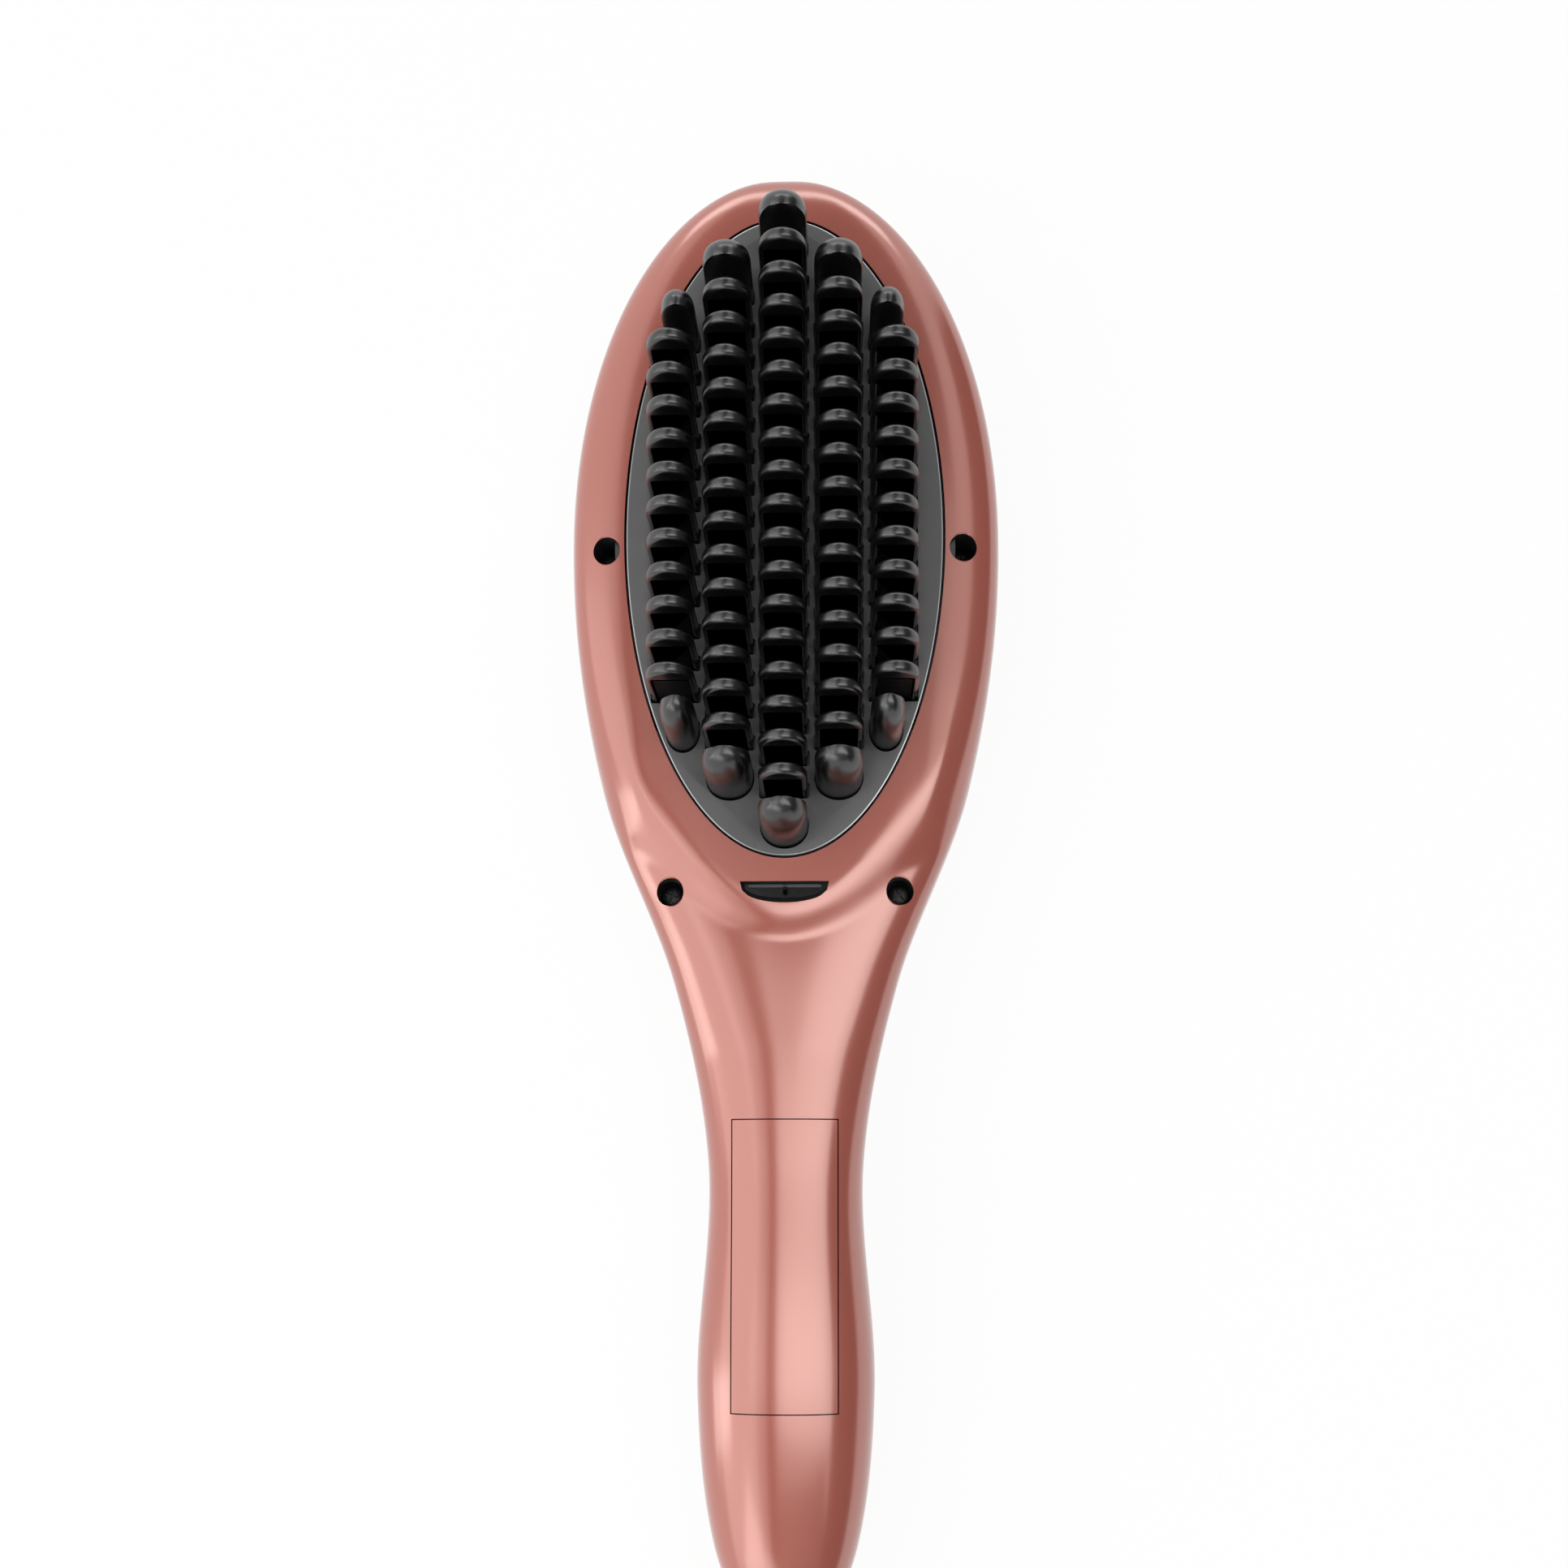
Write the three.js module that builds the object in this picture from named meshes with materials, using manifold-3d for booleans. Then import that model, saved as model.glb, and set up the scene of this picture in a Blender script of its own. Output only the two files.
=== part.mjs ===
// Hair straightening brush, lying on its back with the teeth up
// Millimetres. X runs across, +Y towards the head's tip, +Z up from the face that it rests on
// Lengths along Y are first taken from the middle of the toothed oval, and the whole is centred at the end
import * as THREE from 'three';
import { mergeVertices } from 'three/addons/utils/BufferGeometryUtils.js';
import Module from 'manifold-3d';

const wasm = await Module();
wasm.setup();

// Fits: seatGap lies between pieces that rest on each other, slideGap round a piece that moves
const seatGap = 0.3;
const slideGap = 0.3;

// Outline from above: full widths, each at its reach from the middle of the oval
const headWidth = 73.8;
const shoulderWidth = 63.2;
const shoulderReach = 42.2;
const deckEndReach = 64.2;
const throatWidth = 38.8;
const throatReach = 75;
const neckWidth = 26.8;
const gripWidth = 30.4;
const heelWidth = 24.8;
const endWidth = 14.4;
const endReach = 185.7;
const tipRim = 9.1;

// What lies along the handle keeps its share of the way from the deck to the handle's end
function alongHandle(share) {
  return deckEndReach + share * (endReach - deckEndReach);
}

const neckReach = alongHandle(0.344);
const gripReach = alongHandle(0.669);
const heelReach = alongHandle(0.879);

// Heights above the rest face: the joint between the shells, the flat deck and the handle's top line
const partingHeight = 14.5;
const deckHeight = 25;
const crownRise = 3.8;
const underCrown = 22.9;
const throatTop = 23.7;
const neckTop = 24.3;
const gripTop = 26.4;
const heelTop = 24.6;
const endTop = 21.3;

// Depths of the back below the joint, deep enough at the head and the grip to be cut flat there
const headDepth = 15;
const throatDepth = 10.9;
const neckDepth = 9.4;
const gripDepth = 14.9;
const heelDepth = 11.4;
const endDepth = 6.8;

// Walls and the oval plate
const wall = 2;
const deckRim = 9.65;
const ovalWidth = headWidth - 2 * deckRim;
const ovalLength = 110.2;
const ovalSeam = 0.35;
const plateThickness = 1.5;
const flangeWidth = 1.8;
const flangeThickness = 1.5;
const sealThickness = 1;

// Teeth
const toothHeight = 17;
const columnPitch = 0.16844 * ovalWidth;
const columnGap = 1.18;
const toothWidth = columnPitch - columnGap;
const toothThickness = 2.2;
const toothPitch = 5.46;
const centreColumnTeeth = 19;
const teethFewerOutward = 3;
const columnsEachSide = 2;
const legWidth = 0.85;
const crownThickness = 3.8;
const crownArc = 5;
const thumbDepth = 4.1;
const narrowThumbWidth = 0.7 * toothWidth;
const railHeight = 1.2;
const railLip = 0.2;

// Heater under the teeth
const finThickness = 1.2;
const heaterThickness = 2.2;
const heaterMargin = 2.6;
const elementWidth = 16;
const elementLength = 76;
const elementThickness = 2;
const clampWidth = 9;
const clampThickness = 0.8;
const clampScrewReach = 44;
const clampHeadRadius = 2.4;
const clampHeadHeight = 1.2;
const clampScrewLength = 4.2;
const frameFloorHeight = 12;
const ledgeWidth = 3.4;
const ledgeThickness = 2;
const notchWidth = 20;
const notchLength = 30;
const notchRise = 2.5;
const sensorGap = 3.6;
const beadRadius = 1.3;
const beadLength = 5;
const fuseRadius = 1.8;
const fuseLength = 10;

// Screws
const wellRadius = 2.33;
const wellDepth = 9;
const bossWall = 1.05;
const screwHeadRadius = 2;
const screwHeadHeight = 1.6;
const screwShankRadius = 1.25;
const screwReach = 7.5;
const upperWellInset = 6.6;
const upperWellReach = 2.2;
const lowerWellInset = 5.4;
const lowerWellReach = 60.3;
const tipWellInset = 6.1;
const handleScrewReaches = [alongHandle(0.476), alongHandle(0.64)];

// Ion outlet, between the oval and the end of the deck
const outletWidth = 15;
const outletHeight = 3.6;
const outletReach = 59;
const outletDepth = 3;
const holderRadius = 1.8;
const holderLength = 4;
const needleRadius = 0.4;
const needleLength = 2.2;

// Flush panel on the handle
const panelWidth = 17.7;
const panelStart = alongHandle(0.2872);
const panelEnd = alongHandle(0.6889);
const panelThickness = 1.4;
const panelSeam = 0.35;
const trayThickness = 1.5;

// Controls on the back of the neck
const boardHeight = 13.3;
const boardThickness = 1.6;
const boardWidth = 19;
const boardStart = 57.5;
const boardEndGap = 6;
const boardEnd = handleScrewReaches[0] - boardEndGap;
const lensWidth = 11;
const lensLength = 16;
const lensReach = alongHandle(0.0477);
const powerReach = alongHandle(0.1959);
const powerRadius = 4.4;
const plusReach = alongHandle(0.2905);
const minusReach = alongHandle(0.3728);
const levelRadius = 0.35 * (minusReach - plusReach);
const buttonProud = 0.6;
const buttonTravel = 0.5;
const buttonLip = 0.9;
const lipThickness = 0.8;
const switchHeight = 1.8;
const switchNub = 0.3;
const switchWidth = 6;

// Swivel collar for the cord, and the ion generator ahead of it
const collarLength = 9.4;
const collarRadius = 6.6;
const collarTipRadius = 5.5;
const collarBore = 3.4;
const collarNeck = 4.5;
const collarFlange = 5.5;
const flangeLength = 1.8;
const sleeveWall = 0.9;
const retainerLength = 4;
const generatorWidth = 14;
const generatorLength = 20;
const generatorHeight = 8;
const generatorReach = alongHandle(0.7226);
const leadRadius = 0.8;
const leadStraight = 8;
const leadOnBoard = 14;
const leadBend = 6;

// Values that follow from the ones above
const tipReach = ovalLength / 2 + tipRim;
const seam = seatGap / 2;
const bossRadius = wellRadius + bossWall;
const shankHole = screwShankRadius + slideGap;
const wellFloor = deckHeight - wellDepth;
const plateBottom = deckHeight - plateThickness;
const flangeTop = deckHeight - wall - seatGap;
const flangeBottom = flangeTop - flangeThickness;
const sealTop = flangeBottom - seatGap;
const frameTop = sealTop - sealThickness - seatGap;
const railTop = plateBottom - seatGap;
const railBottom = railTop - railHeight;
const heaterTop = railBottom - seatGap;
const heaterBottom = heaterTop - heaterThickness;
const elementTop = heaterBottom - seatGap;
const elementBottom = elementTop - elementThickness;
const clampTop = elementBottom - seatGap;
const clampBottom = clampTop - clampThickness;
const toothTop = deckHeight + toothHeight;
const flangeFront = -endReach + wall + slideGap;

// Solids: joining and cutting

function solidOf(geometry) {
  const bare = new THREE.BufferGeometry();
  bare.setAttribute('position', geometry.getAttribute('position'));
  if (geometry.index) bare.setIndex(geometry.index);
  const merged = mergeVertices(bare, 1e-4);
  const vertProperties = new Float32Array(merged.getAttribute('position').array);
  const triVerts = new Uint32Array(merged.index.array);
  const solid = new wasm.Manifold(new wasm.Mesh({ numProp: 3, vertProperties, triVerts }));
  if (solid.volume() > 0) return solid;
  triVerts.reverse();
  return new wasm.Manifold(new wasm.Mesh({ numProp: 3, vertProperties, triVerts }));
}

// Slivers under this size, left by the cuts, are merged away
const finestFacet = 0.02;

function geometryOf(solid) {
  const { vertProperties, triVerts } = solid.simplify(finestFacet).getMesh();
  const geometry = new THREE.BufferGeometry();
  geometry.setAttribute('position', new THREE.Float32BufferAttribute(vertProperties, 3));
  geometry.setIndex(Array.from(triVerts));
  geometry.computeVertexNormals();
  return geometry;
}

function joined(solids) {
  return solids.reduce((sum, next) => sum.add(next));
}

function box(width, length, height, x, y, z) {
  return solidOf(new THREE.BoxGeometry(width, length, height).translate(x, y, z + height / 2));
}

// A cylinder standing on z = bottom
function post(radius, bottom, top, x, y, sides = 8) {
  const cylinder = new THREE.CylinderGeometry(radius, radius, top - bottom, sides);
  return solidOf(cylinder.rotateX(Math.PI / 2).translate(x, y, (top + bottom) / 2));
}

// A flat outline in X and Y, raised from z = bottom to z = top
function slab(shape, bottom, top, curveSegments = 12) {
  const depth = top - bottom;
  const raised = new THREE.ExtrudeGeometry(shape, { depth, bevelEnabled: false, curveSegments });
  return solidOf(raised.translate(0, 0, bottom));
}

function ellipse(halfWidth, halfLength) {
  return new THREE.Shape().absellipse(0, 0, halfWidth, halfLength, 0, Math.PI * 2);
}

function roundedRectangle(width, length, radius, x = 0, y = 0) {
  const halfWidth = width / 2 - radius;
  const halfLength = length / 2 - radius;
  const shape = new THREE.Shape();
  shape.absarc(x + halfWidth, y + halfLength, radius, 0, Math.PI / 2);
  shape.absarc(x - halfWidth, y + halfLength, radius, Math.PI / 2, Math.PI);
  shape.absarc(x - halfWidth, y - halfLength, radius, Math.PI, Math.PI * 1.5);
  shape.absarc(x + halfWidth, y - halfLength, radius, Math.PI * 1.5, Math.PI * 2);
  return shape;
}

// A closed skin over rings of equal count, with a fan at each end
function loft(rings) {
  const count = rings[0].length;
  const points = rings.flat();
  const faces = [];
  for (let r = 0; r + 1 < rings.length; r++) {
    for (let i = 0; i < count; i++) {
      const a = r * count + i;
      const b = r * count + (i + 1) % count;
      faces.push(a, b, b + count, a, b + count, a + count);
    }
  }
  const last = (rings.length - 1) * count;
  for (let i = 1; i + 1 < count; i++) {
    faces.push(0, i + 1, i, last, last + i, last + i + 1);
  }
  const geometry = new THREE.BufferGeometry().setFromPoints(points);
  geometry.setIndex(faces);
  return solidOf(geometry);
}

// A smooth line through [reach, value] pairs, level where it starts
function line(pairs) {
  const reaches = pairs.map(([reach]) => reach);
  const values = pairs.map(([, value]) => value);
  const spline = new THREE.CubicInterpolant(reaches, values, 1);
  spline.settings = { endingStart: THREE.ZeroSlopeEnding, endingEnd: THREE.ZeroCurvatureEnding };
  return (reach) => spline.evaluate(reach)[0];
}

// Body: one superellipse section swept along the brush, wide at the head and round at the grip

const halfWidthLine = line([
  [0, headWidth / 2],
  [shoulderReach, shoulderWidth / 2],
  [throatReach, throatWidth / 2],
  [neckReach, neckWidth / 2],
  [gripReach, gripWidth / 2],
  [heelReach, heelWidth / 2],
  [endReach, endWidth / 2],
]);

const bodyRiseLine = line([
  [0, underCrown - partingHeight],
  [deckEndReach, throatTop - partingHeight],
  [neckReach, neckTop - partingHeight],
  [gripReach, gripTop - partingHeight],
  [heelReach, heelTop - partingHeight],
  [endReach, endTop - partingHeight],
]);

const depthLine = line([
  [0, headDepth],
  [throatReach, throatDepth],
  [(throatReach + neckReach) / 2, neckDepth],
  [gripReach, gripDepth],
  [heelReach, heelDepth],
  [endReach, endDepth],
]);

// The head's crown stands over the body, cut flat at the deck. Its section is square at the head and grows
// pointed towards the handle, so the deck ends in a rounded V and drops to the handle in a soft step
const deckRise = deckHeight - partingHeight;
const stepLength = 3.4;
const stepLead = 5.2;
const crownEnd = deckEndReach + 2 * stepLength;
const crownLine = line([
  [0, deckRise + crownRise],
  [shoulderReach, deckRise + 0.77 * crownRise],
  [deckEndReach - stepLead, deckRise + 0.34 * crownRise],
  [deckEndReach, deckRise],
  [deckEndReach + stepLength, throatTop - partingHeight],
  [crownEnd, (throatTop - partingHeight) * 0.7],
]);
const crownPowerLine = line([
  [0, 3],
  [shoulderReach, 2.8],
  [deckEndReach - stepLead, 2.2],
  [deckEndReach, 1.8],
  [crownEnd, 1.7],
]);

// How squarely the head closes at its tip: seen from above, over its crown and over its back
const tipSquareness = 2.05;
const crownSquareness = 3.8;
const backSquareness = 2.8;

function tipFade(reachAhead, inset, power) {
  const share = Math.min(reachAhead / (tipReach - inset), 1);
  return (1 - share ** power) ** (1 / power);
}

function sectionAt(y, inset, riseLine) {
  if (y > 0) {
    return {
      halfWidth: (headWidth / 2 - inset) * tipFade(y, inset, tipSquareness),
      rise: (riseLine(0) - inset) * tipFade(y, inset, crownSquareness),
      depth: (headDepth - inset) * tipFade(y, inset, backSquareness),
    };
  }
  return {
    halfWidth: halfWidthLine(-y) - inset,
    rise: riseLine(-y) - inset,
    depth: depthLine(-y) - inset,
  };
}

function ringAt(y, section, frontPower, backPower, count) {
  const ring = [];
  for (let i = 0; i < count; i++) {
    const angle = (i / count) * Math.PI * 2;
    const across = Math.cos(angle);
    const up = Math.sin(angle);
    const power = up > 0 ? frontPower : backPower;
    const height = up > 0 ? section.rise : section.depth;
    const x = section.halfWidth * Math.sign(across) * Math.abs(across) ** (2 / power);
    const z = height * Math.sign(up) * Math.abs(up) ** (2 / power);
    ring.push(new THREE.Vector3(x, y, partingHeight + z));
  }
  return ring;
}

// Places of the rings: even steps along the handle, closer ones round the tip. Inset skins share them
function ringPlaces(end, inset, handleSteps, headSteps) {
  const ys = [Math.max(inset, 0) - end];
  for (let i = 1; i < handleSteps; i++) ys.push(-end * (1 - i / handleSteps));
  const nose = 0.9985;
  for (let i = 0; i <= headSteps; i++) {
    ys.push((tipReach - inset) * nose * Math.sin((i / headSteps) * Math.PI / 2));
  }
  return ys;
}

const handlePower = 2.2;
const backPower = 2.5;

function bodyLoft(inset, count = 16, handleSteps = 14, headSteps = 7) {
  const rings = ringPlaces(endReach, inset, handleSteps, headSteps).map((y) => {
    return ringAt(y, sectionAt(y, inset, bodyRiseLine), handlePower, backPower, count);
  });
  return loft(rings);
}

function crownLoft(inset, count = 16, handleSteps = 9, headSteps = 7) {
  const rings = ringPlaces(crownEnd, inset, handleSteps, headSteps).map((y) => {
    const section = sectionAt(y, inset, crownLine);
    section.depth = section.rise * 0.2;
    return ringAt(y, section, crownPowerLine(Math.max(-y, 0)), 1.5, count);
  });
  return loft(rings);
}

const far = 400;
const overCrown = gripTop + 2 * crownRise;

function below(height) {
  return box(far, far, far, 0, -endReach / 2, height - far);
}

function above(height) {
  return box(far, far, far, 0, -endReach / 2, height);
}

const outside = bodyLoft(0)
  .add(crownLoft(0).intersect(below(deckHeight)))
  .intersect(above(0));

// The space inside, with pockets under the deck that clear the oval plate's flange and the ion outlet
const insertTop = deckHeight - wall - seatGap;
const insertBottom = insertTop - outletDepth;
const insertMiddle = -(outletReach + outletHeight / 2 + 0.1);
const insertWidth = outletWidth + 2.4;
const insertLength = outletHeight + 2.2;
const flangeReach = flangeWidth + seatGap;
const pocket = ellipse(ovalWidth / 2 + flangeReach, ovalLength / 2 + flangeReach);
const pocketWidth = insertWidth + 2 * seatGap;
const pocketLength = insertLength + 2 * seatGap;
const outletPocket = roundedRectangle(pocketWidth, pocketLength, 1, 0, insertMiddle);
// The inner surface has fewer facets, and what follows it from inside is cut by the same ones
function innerLoft(gap) {
  return bodyLoft(wall + gap, 10, 7, 3);
}

const cavity = innerLoft(0)
  .add(crownLoft(wall, 12, 5, 3).intersect(below(deckHeight - wall)))
  .intersect(above(wall))
  .add(slab(pocket, frameFloorHeight, deckHeight - wall, 10))
  .add(slab(outletPocket, partingHeight, deckHeight - wall, 2));

// Screw wells: five round the head, on towers that meet the towers of the rear shell
const upperWellX = halfWidthLine(upperWellReach) - upperWellInset;
const lowerWellX = halfWidthLine(lowerWellReach) - lowerWellInset;
const headWells = [
  [0, tipReach - tipWellInset],
  [-upperWellX, -upperWellReach],
  [upperWellX, -upperWellReach],
  [-lowerWellX, -lowerWellReach],
  [lowerWellX, -lowerWellReach],
];
const towerClearance = joined(headWells.map(([x, y]) => post(bossRadius + seatGap, 0, deckHeight, x, y)));

// Flush panel and the tray that it lies in, both following the handle's own surface
const panelLength = panelEnd - panelStart;
const panelMiddle = -(panelStart + panelEnd) / 2;
const panelShape = roundedRectangle(panelWidth, panelLength, 0.4, 0, panelMiddle);
const recessWidth = panelWidth + 2 * panelSeam;
const recessLength = panelLength + 2 * panelSeam;
const recessShape = roundedRectangle(recessWidth, recessLength, 0.5, 0, panelMiddle);
const trayMargin = 2 * (panelSeam + trayThickness);
const trayShape = roundedRectangle(panelWidth + trayMargin, panelLength + trayMargin, 1, 0, panelMiddle);
const recessDepth = panelThickness + seatGap;
const handleScrewSeat = neckTop - recessDepth - trayThickness - 2.2;
const handlePanel = slab(panelShape, partingHeight, overCrown, 2)
  .intersect(bodyLoft(0))
  .subtract(bodyLoft(panelThickness));

function frontHousing() {
  const tray = slab(trayShape, partingHeight + wall, overCrown, 2)
    .intersect(bodyLoft(0))
    .subtract(bodyLoft(recessDepth + trayThickness, 12));
  const towers = joined(headWells.map(([x, y]) => post(bossRadius, 0, deckHeight, x, y)));
  const handleTowers = joined(handleScrewReaches.map((reach) => {
    return post(screwHeadRadius + seatGap + bossWall, 0, neckTop - recessDepth, 0, -reach);
  }));
  let shell = outside.subtract(cavity).add(tray).add(towers.intersect(outside)).add(handleTowers);
  shell = shell.intersect(above(partingHeight + seam));
  const recess = slab(recessShape, partingHeight, overCrown, 2).subtract(bodyLoft(recessDepth));
  const oval = slab(ellipse(ovalWidth / 2, ovalLength / 2), deckHeight - wall - 1, deckHeight + 1, 16);
  shell = shell.subtract(recess).subtract(oval).subtract(outletCut());
  for (const [x, y] of headWells) {
    shell = shell.subtract(post(wellRadius, wellFloor, deckHeight + 1, x, y, 12));
    shell = shell.subtract(post(shankHole, partingHeight - 1, deckHeight, x, y, 6));
  }
  for (const reach of handleScrewReaches) {
    shell = shell.subtract(post(screwHeadRadius + seatGap, handleScrewSeat, overCrown, 0, -reach));
    shell = shell.subtract(post(shankHole, partingHeight - 1, deckHeight, 0, -reach, 6));
  }
  return shell.subtract(collarHole());
}

// Crescent outlet: straight towards the teeth, bowed towards the handle, with a sloping lower wall
function crescent(width, height, reach) {
  const shape = new THREE.Shape();
  shape.moveTo(-width / 2, -reach);
  shape.quadraticCurveTo(-width / 2 + 0.4, -reach - height, 0, -reach - height);
  shape.quadraticCurveTo(width / 2 - 0.4, -reach - height, width / 2, -reach);
  return shape;
}

function outletCut() {
  const top = crescent(outletWidth, outletHeight, outletReach);
  const bottom = crescent(outletWidth - 1.2, outletHeight - 1.4, outletReach);
  const levels = [[bottom, deckHeight - wall - 0.5], [top, deckHeight], [top, deckHeight + 1]];
  return loft(levels.map(([shape, z]) => {
    return shape.getPoints(6).map((point) => new THREE.Vector3(point.x, point.y, z));
  }));
}

// The hole at the end of the handle, half in each shell, in which the collar turns
function alongY(profile, sides = 16) {
  const points = profile.map(([radius, y]) => new THREE.Vector2(radius, y));
  return solidOf(new THREE.LatheGeometry(points, sides).translate(0, 0, partingHeight));
}

function collarHole() {
  const neck = collarNeck + slideGap;
  const flange = collarFlange + slideGap;
  const step = -endReach + wall;
  const back = flangeFront + flangeLength + slideGap;
  const mouth = -endReach - 1;
  return alongY([[0, mouth], [neck, mouth], [neck, step], [flange, step], [flange, back], [0, back]]);
}

// Controls cut their openings in the rear shell from the same sizes that make them
const buttons = {
  power_button: { reach: powerReach, radius: powerRadius },
  plus_button: { reach: plusReach, radius: levelRadius },
  minus_button: { reach: minusReach, radius: levelRadius },
};
const lipTop = seatGap + lipThickness;
const switchTip = boardHeight - seatGap - switchHeight - switchNub;
const plungerTop = switchTip - buttonTravel - 0.1;

// A piece that fills an opening in the back, level with it or proud of it, and the lip that keeps it there
function backFill(proud, cutter) {
  return cutter.intersect(bodyLoft(-proud)).subtract(innerLoft(lipTop));
}

function backLip(cutter) {
  return cutter.intersect(innerLoft(seatGap)).subtract(innerLoft(lipTop));
}

function buttonSolid({ reach, radius }) {
  const cap = backFill(buttonProud, post(radius, -1, partingHeight, 0, -reach, 12));
  const lip = backLip(post(radius + buttonLip, -1, partingHeight, 0, -reach, 12));
  const plungerBottom = partingHeight - depthLine(reach) + wall / 2;
  return joined([cap, lip, post(1.6, plungerBottom, plungerTop, 0, -reach, 12)]);
}

const lensShape = roundedRectangle(lensWidth, lensLength, 1.5, 0, -lensReach);
const lensHole = roundedRectangle(lensWidth + 2 * seatGap, lensLength + 2 * seatGap, 1.8, 0, -lensReach);
const lensLip = roundedRectangle(lensWidth + 2 * buttonLip, lensLength + 2 * buttonLip, 1.8, 0, -lensReach);
const displayLens = backFill(0, slab(lensShape, -1, partingHeight, 2))
  .add(backLip(slab(lensLip, -1, partingHeight, 2)));

// Rests inside the rear shell: for the heater's frame, the board and the generator
const frameHalfWidth = ovalWidth / 2 + flangeWidth - 0.4;
const frameHalfLength = ovalLength / 2 + flangeWidth - 0.4;
const frameWall = 3.2;
const frameRestAngle = 0.62;
const boardInset = 1.9;
const ribThickness = 1.4;
const ribInset = 3;
const restRadius = 1.8;
const generatorBottom = partingHeight - generatorHeight / 2 - 1;

// A pilot hole ends a little past the screw's tip
function pilotBottom(seat) {
  return seat + seatGap - screwReach - 0.5;
}

function rearHousing() {
  const rests = [];
  for (const side of [-1, 1]) {
    for (const end of [-1, 1]) {
      const x = side * (frameHalfWidth - frameWall / 2) * Math.cos(frameRestAngle);
      const y = end * (frameHalfLength - frameWall / 2) * Math.sin(frameRestAngle);
      rests.push(post(restRadius, 0, frameFloorHeight - seatGap, x, y, 8));
    }
    for (const reach of [boardStart + boardInset, boardEnd - boardInset]) {
      const x = side * (boardWidth / 2 - boardInset);
      rests.push(post(ribThickness, 0, boardHeight - seatGap, x, -reach, 8));
    }
  }
  for (const reach of [generatorReach + ribInset, generatorReach + generatorLength - ribInset]) {
    rests.push(box(far, ribThickness, generatorBottom - seatGap, 0, -reach, 0));
  }
  const towers = [...headWells, ...handleScrewReaches.map((reach) => [0, -reach])];
  for (const [x, y] of towers) rests.push(post(shankHole + bossWall + ribThickness / 3, 0, far / 10, x, y));
  const inner = joined(rests).intersect(outside);
  let shell = outside.subtract(cavity).add(inner).intersect(below(partingHeight - seam));
  for (const [x, y] of headWells) {
    shell = shell.subtract(post(shankHole, pilotBottom(wellFloor), partingHeight + 1, x, y, 6));
  }
  for (const reach of handleScrewReaches) {
    shell = shell.subtract(post(shankHole, pilotBottom(handleScrewSeat), partingHeight + 1, 0, -reach, 6));
  }
  shell = shell.subtract(slab(lensHole, -1, partingHeight - 3, 2));
  for (const { reach, radius } of Object.values(buttons)) {
    shell = shell.subtract(post(radius + slideGap, -1, partingHeight - 3, 0, -reach, 12));
  }
  return shell.subtract(collarHole());
}

// Teeth: every column is one moulding, arches on two rails with a closed thumb at each end

function columnTeeth(column) {
  return centreColumnTeeth - teethFewerOutward * Math.abs(column);
}

function toothY(column, index) {
  return ((columnTeeth(column) - 1) / 2 - index) * toothPitch;
}

const archHalfWidth = toothWidth / 2;
const windowHalfWidth = archHalfWidth - legWidth;
const windowTop = toothTop - crownThickness;
const legBottom = railBottom + railHeight / 2;
const railX = (archHalfWidth + railLip + windowHalfWidth) / 2;

function archShape() {
  const shape = new THREE.Shape();
  shape.moveTo(archHalfWidth, legBottom);
  shape.absellipse(0, toothTop - crownArc, archHalfWidth, crownArc, 0, Math.PI);
  shape.lineTo(-archHalfWidth, legBottom);
  shape.lineTo(-windowHalfWidth, legBottom);
  shape.lineTo(-windowHalfWidth, windowTop);
  shape.lineTo(windowHalfWidth, windowTop);
  shape.lineTo(windowHalfWidth, legBottom);
  return shape;
}

const archGeometry = new THREE.ExtrudeGeometry(archShape(), {
  depth: toothThickness,
  bevelEnabled: false,
  curveSegments: 2,
}).rotateX(Math.PI / 2).translate(0, toothThickness / 2, 0);

// One ring of a thumb: flat towards its neighbour, a half ellipse outwards
function thumbRing(width, depth, back, z, end) {
  const ring = [];
  const bowSteps = 5;
  for (let i = 0; i <= bowSteps; i++) {
    const angle = (i / bowSteps) * Math.PI;
    const bow = Math.sin(angle) ** 0.7;
    ring.push(new THREE.Vector3(width / 2 * Math.cos(angle), end * (back + (depth - back) * bow), z));
  }
  ring.push(new THREE.Vector3(-width / 2 * 0.92, -end * back, z));
  ring.push(new THREE.Vector3(width / 2 * 0.92, -end * back, z));
  return ring;
}

function thumb(width, end) {
  const back = toothThickness / 2;
  const depth = thumbDepth - back;
  const rings = [
    thumbRing(width, depth, back, railBottom, end),
    thumbRing(width, depth * 0.9, back, toothTop - crownArc, end),
    thumbRing(width * 0.84, depth * 0.66, back * 0.9, toothTop - crownArc * 0.3, end),
    thumbRing(width * 0.36, depth * 0.36, back * 0.5, toothTop, end),
  ];
  return loft(rings);
}

function thumbWidth(column) {
  return Math.abs(column) === columnsEachSide ? narrowThumbWidth : toothWidth;
}

// The outer columns' narrow thumbs keep to the side that faces the middle
function thumbX(column) {
  return -Math.sign(column) * (toothWidth - thumbWidth(column)) / 2;
}

function combRow(column) {
  const count = columnTeeth(column);
  const parts = [];
  for (let index = 1; index + 1 < count; index++) {
    parts.push(solidOf(archGeometry.clone().translate(0, toothY(column, index), 0)));
  }
  const reach = toothY(column, 0);
  for (const side of [-1, 1]) {
    const outward = Math.sign(side) === Math.sign(column) && thumbX(column) !== 0;
    const inward = outward ? toothPitch : 0;
    const length = 2 * (reach - inward);
    parts.push(box(legWidth + railLip, length, railHeight, side * railX, 0, railBottom));
  }
  for (const end of [-1, 1]) {
    parts.push(thumb(thumbWidth(column), end).translate([thumbX(column), end * reach, 0]));
  }
  return joined(parts).translate([column * columnPitch, 0, 0]);
}

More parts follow.
